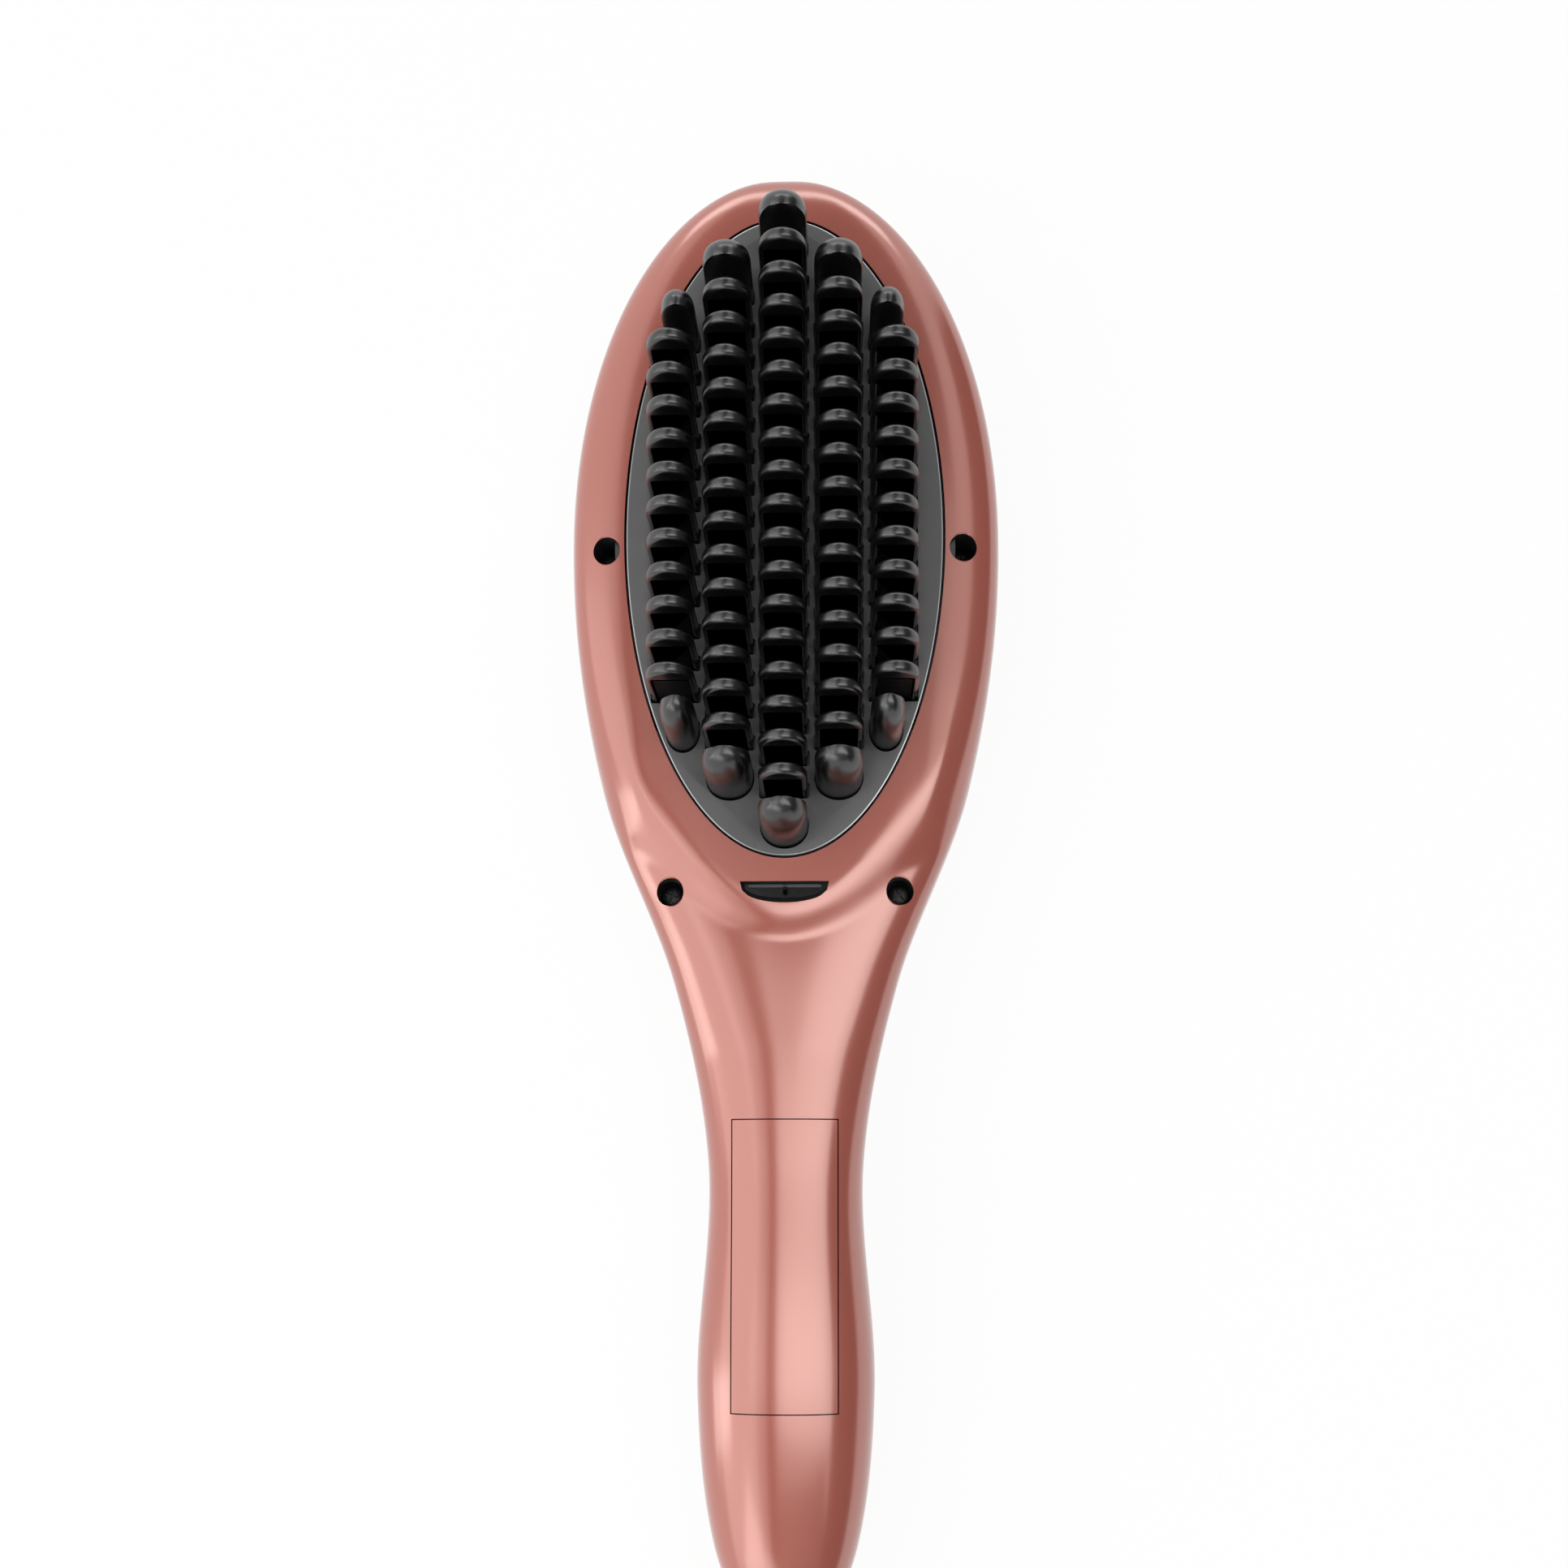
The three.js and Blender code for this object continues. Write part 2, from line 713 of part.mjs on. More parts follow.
// The oval plate: a window for every tooth, a rim, and a flange that is trapped under the deck
function bristlePlate() {
  const halfWidth = ovalWidth / 2 - ovalSeam;
  const halfLength = ovalLength / 2 - ovalSeam;
  const skirt = halfWidth - 1.5;
  let plate = slab(ellipse(halfWidth, halfLength), flangeBottom, deckHeight, 16);
  const flange = ellipse(ovalWidth / 2 + flangeWidth, ovalLength / 2 + flangeWidth);
  plate = plate.add(slab(flange, flangeBottom, flangeTop, 10));
  plate = plate.subtract(slab(ellipse(skirt, halfLength - 1.5), flangeBottom - 1, plateBottom, 10));
  const windowWidth = toothWidth + 2 * seatGap;
  const windowLength = toothThickness + 2 * seatGap;
  const cutBottom = flangeBottom - 1;
  const cuts = [];
  for (let column = -columnsEachSide; column <= columnsEachSide; column++) {
    const count = columnTeeth(column);
    const x = column * columnPitch;
    for (let index = 1; index + 1 < count; index++) {
      cuts.push(box(windowWidth, windowLength, far / 10, x, toothY(column, index), cutBottom));
    }
    for (const end of [-1, 1]) {
      const width = thumbWidth(column) + 2 * seatGap;
      const depth = thumbDepth - toothThickness / 2 + seatGap;
      const rings = [cutBottom, deckHeight + 1].map((z) => thumbRing(width, depth, windowLength / 2, z, end));
      cuts.push(loft(rings).translate([x + thumbX(column), end * toothY(column, 0), 0]));
    }
    for (const side of [-1, 1]) {
      const channelWidth = legWidth + railLip + 2 * seatGap;
      const height = plateBottom - cutBottom;
      cuts.push(box(channelWidth, 2 * toothY(column, 0), height, x + side * railX, 0, cutBottom));
    }
  }
  return plate.subtract(joined(cuts)).subtract(towerClearance);
}

// The heater plate: a casting with a fin standing in every arch, and posts for its clamp
const heaterHalfWidth = ovalWidth / 2 - heaterMargin;
const heaterHalfLength = ovalLength / 2 - heaterMargin;

function heaterPlate() {
  const finWidth = 2 * (windowHalfWidth - seatGap);
  const parts = [slab(ellipse(heaterHalfWidth, heaterHalfLength), heaterBottom, heaterTop, 10)];
  const finHeight = windowTop - seatGap - heaterTop + 0.5;
  for (let column = -columnsEachSide; column <= columnsEachSide; column++) {
    for (let index = 1; index + 1 < columnTeeth(column); index++) {
      const x = column * columnPitch;
      parts.push(box(finWidth, finThickness, finHeight, x, toothY(column, index), heaterTop - 0.5));
    }
  }
  let plate = joined(parts);
  for (const end of [-1, 1]) {
    plate = plate.add(post(3, clampTop + seatGap, heaterBottom + 0.5, 0, end * clampScrewReach, 8));
    plate = plate.subtract(post(shankHole, 0, heaterTop - 0.8, 0, end * clampScrewReach, 6));
  }
  return plate;
}

const tabX = elementWidth / 2 - 1.5;
const tabLength = 5;

function heatingElement() {
  const bar = roundedRectangle(elementWidth, elementLength, 1);
  const tabs = [-1, 1].map((side) => {
    const y = -(elementLength + tabLength) / 2 + 0.5;
    return box(2.4, tabLength, 0.8, side * tabX, y, elementBottom + 0.6);
  });
  return joined([slab(bar, elementBottom, elementTop, 2), ...tabs]);
}

function heaterClamp() {
  const strip = roundedRectangle(clampWidth, 2 * clampScrewReach + clampWidth, 2);
  let clamp = slab(strip, clampBottom, clampTop, 1);
  clamp = clamp.add(box(1.2, elementLength, 1.2, 0, 0, clampBottom - 1));
  for (const end of [-1, 1]) {
    clamp = clamp.subtract(post(shankHole, 0, deckHeight, 0, end * clampScrewReach, 8));
  }
  return clamp;
}

// A screw with its head up, or with its head down where it is driven from below
function screw(headRadius, headHeight, length, x, y, seat, headUp = true) {
  const way = headUp ? 1 : -1;
  const head = seat + way * (headHeight + seatGap);
  const under = seat + way * seatGap;
  const tip = under - way * length;
  const shank = [[0, tip], [screwShankRadius, tip], [screwShankRadius, under]];
  const profile = [...shank, [headRadius, under], [headRadius, head], [0, head]];
  if (!headUp) profile.reverse();
  const points = profile.map(([radius, z]) => new THREE.Vector2(radius, z));
  return solidOf(new THREE.LatheGeometry(points, 6).rotateX(Math.PI / 2).translate(x, y, 0));
}

// The frame that insulates the heater from the shells
function insulatingFrame() {
  const wallInside = ellipse(frameHalfWidth - frameWall, frameHalfLength - frameWall);
  const ledgeInside = ellipse(heaterHalfWidth - ledgeWidth, heaterHalfLength - ledgeWidth);
  const ledgeTop = heaterBottom - seatGap;
  let frame = slab(ellipse(frameHalfWidth, frameHalfLength), frameFloorHeight, frameTop, 9);
  frame = frame.subtract(slab(wallInside, ledgeTop, frameTop + 1, 9));
  frame = frame.subtract(slab(wallInside, frameFloorHeight - 1, ledgeTop - ledgeThickness, 9));
  frame = frame.subtract(slab(ledgeInside, frameFloorHeight - 1, frameTop + 1, 9));
  const cableNotch = box(notchWidth, notchLength, far, 0, -frameHalfLength, frameFloorHeight + notchRise);
  return frame.subtract(cableNotch).subtract(towerClearance);
}

function plateSeal() {
  const outer = slab(ellipse(frameHalfWidth, frameHalfLength), sealTop - sealThickness, sealTop, 9);
  const inner = ellipse(frameHalfWidth - frameWall, frameHalfLength - frameWall);
  return outer.subtract(slab(inner, 0, deckHeight, 9)).subtract(towerClearance);
}

// A bent wire through a few points
function lead(points, radius = leadRadius, steps = 7) {
  const path = new THREE.CatmullRomCurve3(points.map(([x, y, z]) => new THREE.Vector3(x, y, z)));
  const section = new THREE.Shape().absarc(0, 0, radius, 0, Math.PI * 2);
  return new THREE.ExtrudeGeometry(section, { extrudePath: path, steps, bevelEnabled: false, curveSegments: 3 });
}

const boardTop = boardHeight + boardThickness;
const leadHeight = boardTop + seatGap + leadRadius;
const tabEnd = -(elementLength / 2 + tabLength - 0.5);
const tabHeight = elementBottom + 1;

function heaterLead(side) {
  const x = side * tabX;
  return lead([
    [x, tabEnd - seatGap, tabHeight],
    [x, tabEnd - leadStraight, tabHeight],
    [x * 0.95, -boardStart, leadHeight + leadRadius],
    [x * 0.9, -boardStart - leadStraight / 2, leadHeight],
    [x * 0.9, -boardStart - leadOnBoard, leadHeight],
  ]);
}

function controlBoard() {
  const middle = -(boardStart + boardEnd) / 2;
  const outline = roundedRectangle(boardWidth, boardEnd - boardStart, 1, 0, middle);
  return slab(outline, boardHeight, boardTop, 2);
}

function switchSolid({ reach }) {
  const top = boardHeight - seatGap;
  const can = box(switchWidth, switchWidth, switchHeight, 0, -reach, top - switchHeight);
  return can.add(post(1.7, switchTip, top - 0.5, 0, -reach, 12));
}

function displayModule() {
  const bottom = partingHeight - depthLine(lensReach) + wall + lipTop + seatGap + 0.9;
  return box(lensWidth, lensLength, boardHeight - seatGap - bottom, 0, -lensReach, bottom);
}

// Ion parts: the insert under the crescent, the needle below it, the generator and its lead
function ionOutlet() {
  const body = roundedRectangle(insertWidth, insertLength, 1, 0, insertMiddle);
  const mouth = slab(crescent(outletWidth - 2.4, outletHeight - 1.4, outletReach + 0.2), 0, deckHeight, 3);
  return slab(body, insertBottom, insertTop, 3).subtract(mouth);
}

const emitterTop = insertBottom - seatGap;
const emitterReach = outletReach + needleLength / 2;

function ionEmitter() {
  const base = [[0, emitterTop - holderLength], [holderRadius, emitterTop - holderLength], [holderRadius, emitterTop]];
  const shoulder = emitterTop + needleLength - needleRadius;
  const needle = [[needleRadius, emitterTop], [needleRadius, shoulder], [0, emitterTop + needleLength]];
  const points = [...base, ...needle].map(([radius, z]) => new THREE.Vector2(radius, z));
  return solidOf(new THREE.LatheGeometry(points, 8).rotateX(Math.PI / 2).translate(0, -emitterReach, 0));
}

const generatorMiddle = -(generatorReach + generatorLength / 2);

function ionGenerator() {
  const shape = roundedRectangle(generatorWidth, generatorLength, 1, 0, generatorMiddle);
  return slab(shape, generatorBottom, generatorBottom + generatorHeight, 2);
}

// The lead runs beside the board, above the joint between the shells
function ionLead() {
  const ionLeadX = -(boardWidth / 2 - 2.4 * leadRadius);
  const z = partingHeight + 4 * leadRadius;
  const start = -generatorReach + seatGap;
  const startHeight = generatorBottom + generatorHeight / 2;
  const emitterMiddle = emitterTop - holderLength / 2;
  return lead([
    [-generatorWidth / 4, start, startHeight],
    [-generatorWidth / 4 - leadRadius / 3, start + 2 * leadRadius, startHeight],
    [ionLeadX * 0.8, -generatorReach + leadBend, z - leadRadius],
    [ionLeadX, -handleScrewReaches[1] + leadBend, z],
    [ionLeadX, -neckReach, z],
    [ionLeadX, -throatReach, z + leadRadius],
    [ionLeadX * 0.6, -lowerWellReach - leadBend, emitterMiddle],
    [-holderRadius, -(emitterReach + holderRadius + seatGap), emitterMiddle],
  ], leadRadius, 14);
}

// Swivel collar: a sleeve that turns in the end of the handle, with a flange behind the end wall
const collarStart = -(endReach + seatGap);
const sleeveEnd = flangeFront + flangeLength + seatGap + retainerLength + 1;
const sleeveRadius = collarBore + sleeveWall;

function cordCollar() {
  const end = collarStart - collarLength;
  return alongY([
    [collarBore, end],
    [collarTipRadius - 0.6, end],
    [collarTipRadius, end + 0.6],
    [collarRadius - 0.25, collarStart - 2.6],
    [collarRadius, collarStart - 1.8],
    [collarRadius, collarStart],
    [collarNeck, collarStart],
    [collarNeck, flangeFront],
    [collarFlange, flangeFront],
    [collarFlange, flangeFront + flangeLength],
    [sleeveRadius, flangeFront + flangeLength],
    [sleeveRadius, sleeveEnd],
    [collarBore, sleeveEnd],
    [collarBore, end],
  ], 16);
}

function swivelRetainer() {
  const start = flangeFront + flangeLength + slideGap;
  const block = box(2 * collarRadius, retainerLength, far, 0, start + retainerLength / 2, 0);
  const fitted = block.intersect(innerLoft(seatGap));
  const bore = sleeveRadius + slideGap;
  const mouth = start - 1;
  const back = start + retainerLength + 1;
  return fitted.subtract(alongY([[0, mouth], [bore, mouth], [bore, back], [0, back]], 12));
}

// Colours and finishes
const paint = { color: '#cf8a7e', roughness: 0.32, metalness: 0.55 };
const gloss = { color: '#0c0c0d', roughness: 0.22, metalness: 0 };
const grey = { color: '#58595a', roughness: 0.4, metalness: 0.1 };
const casting = { color: '#161618', roughness: 0.5, metalness: 0.6 };
const steel = { color: '#9a9ca0', roughness: 0.35, metalness: 0.95 };
const moulding = { color: '#d9d3c4', roughness: 0.7, metalness: 0 };
const silicone = { color: '#8a2f26', roughness: 0.8, metalness: 0 };
const board = { color: '#1f5a3a', roughness: 0.55, metalness: 0.05 };
const smoked = { color: '#15171a', roughness: 0.08, metalness: 0 };
const ceramic = { color: '#e8e4da', roughness: 0.6, metalness: 0 };
const wire = { color: '#b8341f', roughness: 0.6, metalness: 0 };
const darkWire = { color: '#20242c', roughness: 0.6, metalness: 0 };

const brush = new THREE.Group();

function place(name, shape, finish) {
  const geometry = shape.isBufferGeometry ? shape : geometryOf(shape);
  const mesh = new THREE.Mesh(geometry, new THREE.MeshStandardMaterial(finish));
  mesh.name = name;
  brush.add(mesh);
}

place('front_housing', frontHousing(), paint);
place('rear_housing', rearHousing(), paint);
place('handle_panel', handlePanel, paint);
place('bristle_plate', bristlePlate(), grey);
for (let column = -columnsEachSide; column <= columnsEachSide; column++) {
  place(`comb_row_${column + columnsEachSide + 1}`, combRow(column), gloss);
}
place('heater_plate', heaterPlate(), casting);
place('heating_element', heatingElement(), ceramic);
place('heater_clamp', heaterClamp(), steel);
[-1, 1].forEach((end, index) => {
  const y = end * clampScrewReach;
  const fastener = screw(clampHeadRadius, clampHeadHeight, clampScrewLength, 0, y, clampBottom, false);
  place(`clamp_screw_${index + 1}`, fastener, steel);
});
place('insulating_frame', insulatingFrame(), moulding);
place('plate_seal', plateSeal(), silicone);

// The bead and the fuse lie against the heater's underside, beside the element
const sensorX = elementWidth / 2 + sensorGap;
const sensorTop = heaterBottom - seatGap;
const bead = new THREE.CapsuleGeometry(beadRadius, beadLength, 3, 10);
place('thermistor', solidOf(bead.translate(sensorX, 0, sensorTop - beadRadius)), ceramic);
const fuse = new THREE.CylinderGeometry(fuseRadius, fuseRadius, fuseLength, 12);
place('thermal_fuse', solidOf(fuse.translate(-sensorX, 0, sensorTop - fuseRadius)), steel);

place('ion_outlet', ionOutlet(), gloss);
place('ion_emitter', ionEmitter(), steel);
place('ion_generator', ionGenerator(), moulding);
place('ion_lead', ionLead(), darkWire);
place('heater_lead_1', heaterLead(-1), wire);
place('heater_lead_2', heaterLead(1), darkWire);
place('control_board', controlBoard(), board);
place('display_module', displayModule(), moulding);
place('display_lens', displayLens, smoked);
for (const [name, button] of Object.entries(buttons)) {
  place(name, buttonSolid(button), gloss);
  place(name.replace('button', 'switch'), switchSolid(button), steel);
}
headWells.forEach(([x, y], index) => {
  place(`head_screw_${index + 1}`, screw(screwHeadRadius, screwHeadHeight, screwReach, x, y, wellFloor), steel);
});
handleScrewReaches.forEach((reach, index) => {
  const fastener = screw(screwHeadRadius, screwHeadHeight, screwReach, 0, -reach, handleScrewSeat);
  place(`handle_screw_${index + 1}`, fastener, steel);
});
place('cord_collar', cordCollar(), gloss);
place('swivel_retainer', swivelRetainer(), moulding);

// The middle of the whole length becomes the origin
brush.position.y = (endReach + seatGap + collarLength - tipReach) / 2;

export default brush;
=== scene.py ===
import math

import bmesh
import bpy
from mathutils import Matrix, Vector


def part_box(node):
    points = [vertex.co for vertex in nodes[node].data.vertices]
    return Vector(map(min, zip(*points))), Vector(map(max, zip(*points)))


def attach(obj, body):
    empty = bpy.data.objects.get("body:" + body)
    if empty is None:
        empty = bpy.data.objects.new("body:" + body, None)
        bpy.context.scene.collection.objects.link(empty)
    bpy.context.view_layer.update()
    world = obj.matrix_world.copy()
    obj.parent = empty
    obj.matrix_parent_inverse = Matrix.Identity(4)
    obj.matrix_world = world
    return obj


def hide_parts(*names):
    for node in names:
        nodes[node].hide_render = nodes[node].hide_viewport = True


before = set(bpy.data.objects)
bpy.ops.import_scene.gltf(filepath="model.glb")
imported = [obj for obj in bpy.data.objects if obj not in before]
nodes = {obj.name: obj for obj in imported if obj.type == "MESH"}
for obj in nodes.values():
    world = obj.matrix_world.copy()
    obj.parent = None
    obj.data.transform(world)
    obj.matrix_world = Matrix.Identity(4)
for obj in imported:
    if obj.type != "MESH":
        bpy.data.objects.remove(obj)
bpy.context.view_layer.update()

# Camera: a third of a metre above the neck and looking almost straight down. The lens is raised
# towards the head, so that the teeth lean outwards from a point near the handle's panel.
camera_data = bpy.data.cameras.new("camera")
camera_data.sensor_width = 36
camera_data.lens = 42
camera_data.shift_y = 0.208
camera = bpy.data.objects.new("camera", camera_data)
bpy.context.scene.collection.objects.link(camera)
camera_right = Vector((0.99962, 0.0, -0.02757))
camera_up = Vector((0.00125, 0.99897, 0.04535))
camera_turn = Matrix((camera_right, camera_up, camera_right.cross(camera_up))).transposed().to_4x4()
camera.matrix_world = Matrix.Translation((0.00835, -0.0458, 0.3302)) @ camera_turn
bpy.context.scene.camera = camera

# Studio: a pale table that keeps a soft shadow and shows white to the lens and in reflections, and
# a white surround that fills the shade.
bpy.context.scene.view_settings.view_transform = "Standard"
TABLE_HALF = 1.6
TABLE_GAP = 0.0002
TABLE_GREY = 0.7
TABLE_GLOW = 1.04
TABLE_GLOW_SHARE = 0.9
FILL_LIGHT = 0.5
table_sheet = bmesh.new()
bmesh.ops.create_grid(table_sheet, x_segments=1, y_segments=1, size=TABLE_HALF)
bmesh.ops.translate(table_sheet, verts=table_sheet.verts, vec=(0, 0, -TABLE_GAP))
table_mesh = bpy.data.meshes.new("table_top")
table_sheet.to_mesh(table_mesh)
table_sheet.free()
table = bpy.data.objects.new("table_top", table_mesh)
bpy.context.scene.collection.objects.link(table)


def seen_share(tree, share):
    """The given share for rays from the lens, off gloss and through glass, and none for the rest."""
    rays = tree.nodes.new("ShaderNodeLightPath")
    either = tree.nodes.new("ShaderNodeMath")
    either.operation = "MAXIMUM"
    any_of = tree.nodes.new("ShaderNodeMath")
    any_of.operation = "MAXIMUM"
    scaled = tree.nodes.new("ShaderNodeMath")
    scaled.operation = "MULTIPLY"
    scaled.inputs[1].default_value = share
    tree.links.new(rays.outputs["Is Camera Ray"], either.inputs[0])
    tree.links.new(rays.outputs["Is Glossy Ray"], either.inputs[1])
    tree.links.new(either.outputs[0], any_of.inputs[0])
    tree.links.new(rays.outputs["Is Transmission Ray"], any_of.inputs[1])
    tree.links.new(any_of.outputs[0], scaled.inputs[0])
    return scaled.outputs[0]


table_finish = bpy.data.materials.new("table_white")
table_finish.use_nodes = True
table_tree = table_finish.node_tree
table_tree.nodes.clear()
table_output = table_tree.nodes.new("ShaderNodeOutputMaterial")
table_mix = table_tree.nodes.new("ShaderNodeMixShader")
table_diffuse = table_tree.nodes.new("ShaderNodeBsdfDiffuse")
table_diffuse.inputs["Color"].default_value = (TABLE_GREY, TABLE_GREY, TABLE_GREY, 1)
table_glow = table_tree.nodes.new("ShaderNodeEmission")
table_glow.inputs["Strength"].default_value = TABLE_GLOW
table_tree.links.new(seen_share(table_tree, TABLE_GLOW_SHARE), table_mix.inputs["Fac"])
table_tree.links.new(table_diffuse.outputs[0], table_mix.inputs[1])
table_tree.links.new(table_glow.outputs[0], table_mix.inputs[2])
table_tree.links.new(table_mix.outputs[0], table_output.inputs["Surface"])
table_mesh.materials.append(table_finish)

world = bpy.data.worlds.new("studio_surround")
bpy.context.scene.world = world
world.use_nodes = True
surround = world.node_tree
surround.nodes.clear()
surround_output = surround.nodes.new("ShaderNodeOutputWorld")
surround_mix = surround.nodes.new("ShaderNodeMixShader")
surround_light = surround.nodes.new("ShaderNodeBackground")
surround_light.inputs["Color"].default_value = (1, 1, 1, 1)
surround_light.inputs["Strength"].default_value = FILL_LIGHT
surround_seen = surround.nodes.new("ShaderNodeBackground")
surround_seen.inputs["Color"].default_value = (1, 1, 1, 1)
surround.links.new(seen_share(surround, 1.0), surround_mix.inputs["Fac"])
surround.links.new(surround_light.outputs[0], surround_mix.inputs[1])
surround.links.new(surround_seen.outputs[0], surround_mix.inputs[2])
surround.links.new(surround_mix.outputs[0], surround_output.inputs["Surface"])

# Lamps: long soft panels over the brush, of which the strip draws the highlight along the handle's
# right, and one at each end that catches the closed teeth. Dark cards show only in the gloss, where
# they keep the teeth and the deck deep.
LAMP_DISTANCE = 1.5


def panel_lamp(name, place, aim, width, length, brightness):
    """A panel turned towards its aim, with its brightness as seen in a mirror."""
    lamp_data = bpy.data.lights.new(name, "AREA")
    lamp_data.shape = "RECTANGLE"
    lamp_data.size = width
    lamp_data.size_y = length
    lamp_data.energy = brightness * math.pi * width * length
    lamp = bpy.data.objects.new(name, lamp_data)
    bpy.context.scene.collection.objects.link(lamp)
    towards = Vector(aim) - Vector(place)
    lamp.matrix_world = Matrix.Translation(place) @ towards.to_track_quat("-Z", "Y").to_matrix().to_4x4()


# Angle from straight up and angle that the panel spans, in degrees, then its middle and length
for name, angle, spread, middle, length, brightness in (
    ("lamp_left", -50, 60, -0.335, 1.43, 0.78),
    ("lamp_low_left", -84, 10, -0.3, 1.5, 2.2),
    ("lamp_overhead", 2, 15, -0.1, 1.95, 0.6),
    ("lamp_strip", 25, 24, -0.1, 1.95, 1.6),
):
    tilt = math.radians(angle)
    width = 2 * LAMP_DISTANCE * math.tan(math.radians(spread / 2))
    place = (LAMP_DISTANCE * math.sin(tilt), middle, LAMP_DISTANCE * math.cos(tilt))
    panel_lamp(name, place, (0, middle, 0), width, length, brightness)
panel_lamp("lamp_corner", (-0.5, -1.0, 0.95), (0, 0, 0), 1.2, 0.7, 1.3)
panel_lamp("lamp_far", (0, 1.3, 0.6), (0, 0, 0), 1.3, 0.34, 2.6)

CARD_ROUGHNESS = 0.9
for name, shade, middle, size, lean in (
    ("card_far", 0.3, (0.01, 0.75, 0.6), (0.34, 0.9), (0, 0)),
    ("card_middle", 0.03, (0.01, 0.18, 0.6), (0.1, 0.26), (0, 0)),
    ("card_near", 0.5, (0.525, -0.95, 1.05), (1.35, 1.3), (57.5, 0)),
    ("card_right", 0.15, (0.9, 0, 0.45), (0.9, 2.0), (0, 90)),
    ("card_overhead", 0.02, (-0.26, -0.1, 1.37), (0.2, 1.95), (0, 0)),
):
    card_grey = bpy.data.materials.new(name)
    card_grey.use_nodes = True
    card_tree = card_grey.node_tree
    card_face = card_tree.nodes["Principled BSDF"]
    card_face.inputs["Base Color"].default_value = (shade, shade, shade, 1)
    card_face.inputs["Roughness"].default_value = CARD_ROUGHNESS
    card_mix = card_tree.nodes.new("ShaderNodeMixShader")
    card_clear = card_tree.nodes.new("ShaderNodeBsdfTransparent")
    card_rays = card_tree.nodes.new("ShaderNodeLightPath")
    card_tree.links.new(card_rays.outputs["Is Camera Ray"], card_mix.inputs["Fac"])
    card_tree.links.new(card_face.outputs[0], card_mix.inputs[1])
    card_tree.links.new(card_clear.outputs[0], card_mix.inputs[2])
    card_tree.links.new(card_mix.outputs[0], card_tree.nodes["Material Output"].inputs["Surface"])
    sheet = bmesh.new()
    bmesh.ops.create_grid(sheet, x_segments=1, y_segments=1, size=0.5)
    bmesh.ops.scale(sheet, verts=sheet.verts, vec=(*size, 1))
    for degrees, axis in zip(lean, "XY"):
        bmesh.ops.rotate(sheet, verts=sheet.verts, matrix=Matrix.Rotation(math.radians(degrees), 3, axis))
    bmesh.ops.translate(sheet, verts=sheet.verts, vec=middle)
    card_mesh = bpy.data.meshes.new(name)
    sheet.to_mesh(card_mesh)
    sheet.free()
    card_mesh.materials.append(card_grey)
    card = bpy.data.objects.new(name, card_mesh)
    bpy.context.scene.collection.objects.link(card)

# Front shell: the moulded upper half of the case, from the tip of the head to the end of the handle.
# Black plastic, painted rose on the outside; where the black is left bare in the deep well bores and the
# outlet's mouth, it is also painted shade. A flat deck lies round the toothed oval, its outer band
# rolls away to the joint between the shells, and it drops to the handle in one soft step.
def cad_mm(node):
    return tuple(corner * 1000 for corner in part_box(node))


def middle_of(node):
    low, high = cad_mm(node)
    return (low + high) / 2


MIDDLE = middle_of("comb_row_3").y
DECK = cad_mm("bristle_plate")[1].z
JOINT = (cad_mm("front_housing")[0].z + cad_mm("rear_housing")[1].z) / 2
SEAM = cad_mm("front_housing")[0].z - JOINT
WALL = 2.0
GAP = 0.3
HEAD_HALF = cad_mm("front_housing")[1].x
TIP_REACH = cad_mm("front_housing")[1].y - MIDDLE
END_REACH = MIDDLE - cad_mm("front_housing")[0].y
END_ROUND = 1.8

# Reaches along the case, counted from the oval's middle towards the handle's end
SHOULDER = 42.2
DECK_END = 64.2
THROAT = 75.0
NECK = 106.0
GRIP = 145.5
HEEL = 171.0
HANDLE_END = 185.7

# Half width, then the heights of body and crown above the joint and the depth below it
half_width_line = [
    (0, HEAD_HALF), (SHOULDER, 31.6), (THROAT, 19.4), (NECK, 13.4), (GRIP, 15.2), (HEEL, 12.4),
    (HANDLE_END, 7.2),
]
body_line = [
    (0, 8.4), (DECK_END, 9.25), (84, 9.3), (NECK, 9.8), (GRIP, 11.9), (HEEL, 10.1), (HANDLE_END, 6.8),
]
crown_line = [
    (0, 11.75), (18, 11.85), (31, 12.5), (SHOULDER, 13.43), (59, 11.6), (DECK_END, 10.9), (71, 9.8), (78, 6),
]
depth_line = [(0, 15), (THROAT, 10.9), (90.5, 9.4), (GRIP, 14.9), (HEEL, 11.4), (HANDLE_END, 6.8)]

# How square each is across the case, where 2 is an ellipse, and how square its closing at the tip
crown_power_line = [(0, 4.2), (18, 4.1), (31, 3.4), (SHOULDER, 2.8), (59, 2.2), (76, 2)]
body_power_line = [(0, 2.2), (34, 2.4), (48, 3.5), (58, 3.5), (66, 3.0), (88, 2.2)]
BACK_POWER = 2.5
TIP_SQUARENESS = 2.05
CROWN_SQUARENESS = 5.5
BODY_SQUARENESS = 3.8
BACK_SQUARENESS = 2.8

# The deck's oval edge, which rolls over more and more towards the handle
DECK_HALF = 31.5
DECK_REACH = 66.2
DECK_OUTLINE = 1.9
ROLL_WIDTH = 3.0
ROLL_SPREAD = 50
ROLL_DEPTH = 0.07
ROLL_START = 40
ROLL_RUN = 22

# How widely two forms run into each other: crown and deck, deck and body, back and the flat
CROWN_BLEND = 0.55
BODY_BLEND = 0.6
FLANK_BLEND = 2.6
FLANK_START = 30
FLANK_RUN = 20
FLANK_POWER = 3
FLAT_BLEND = 0.12


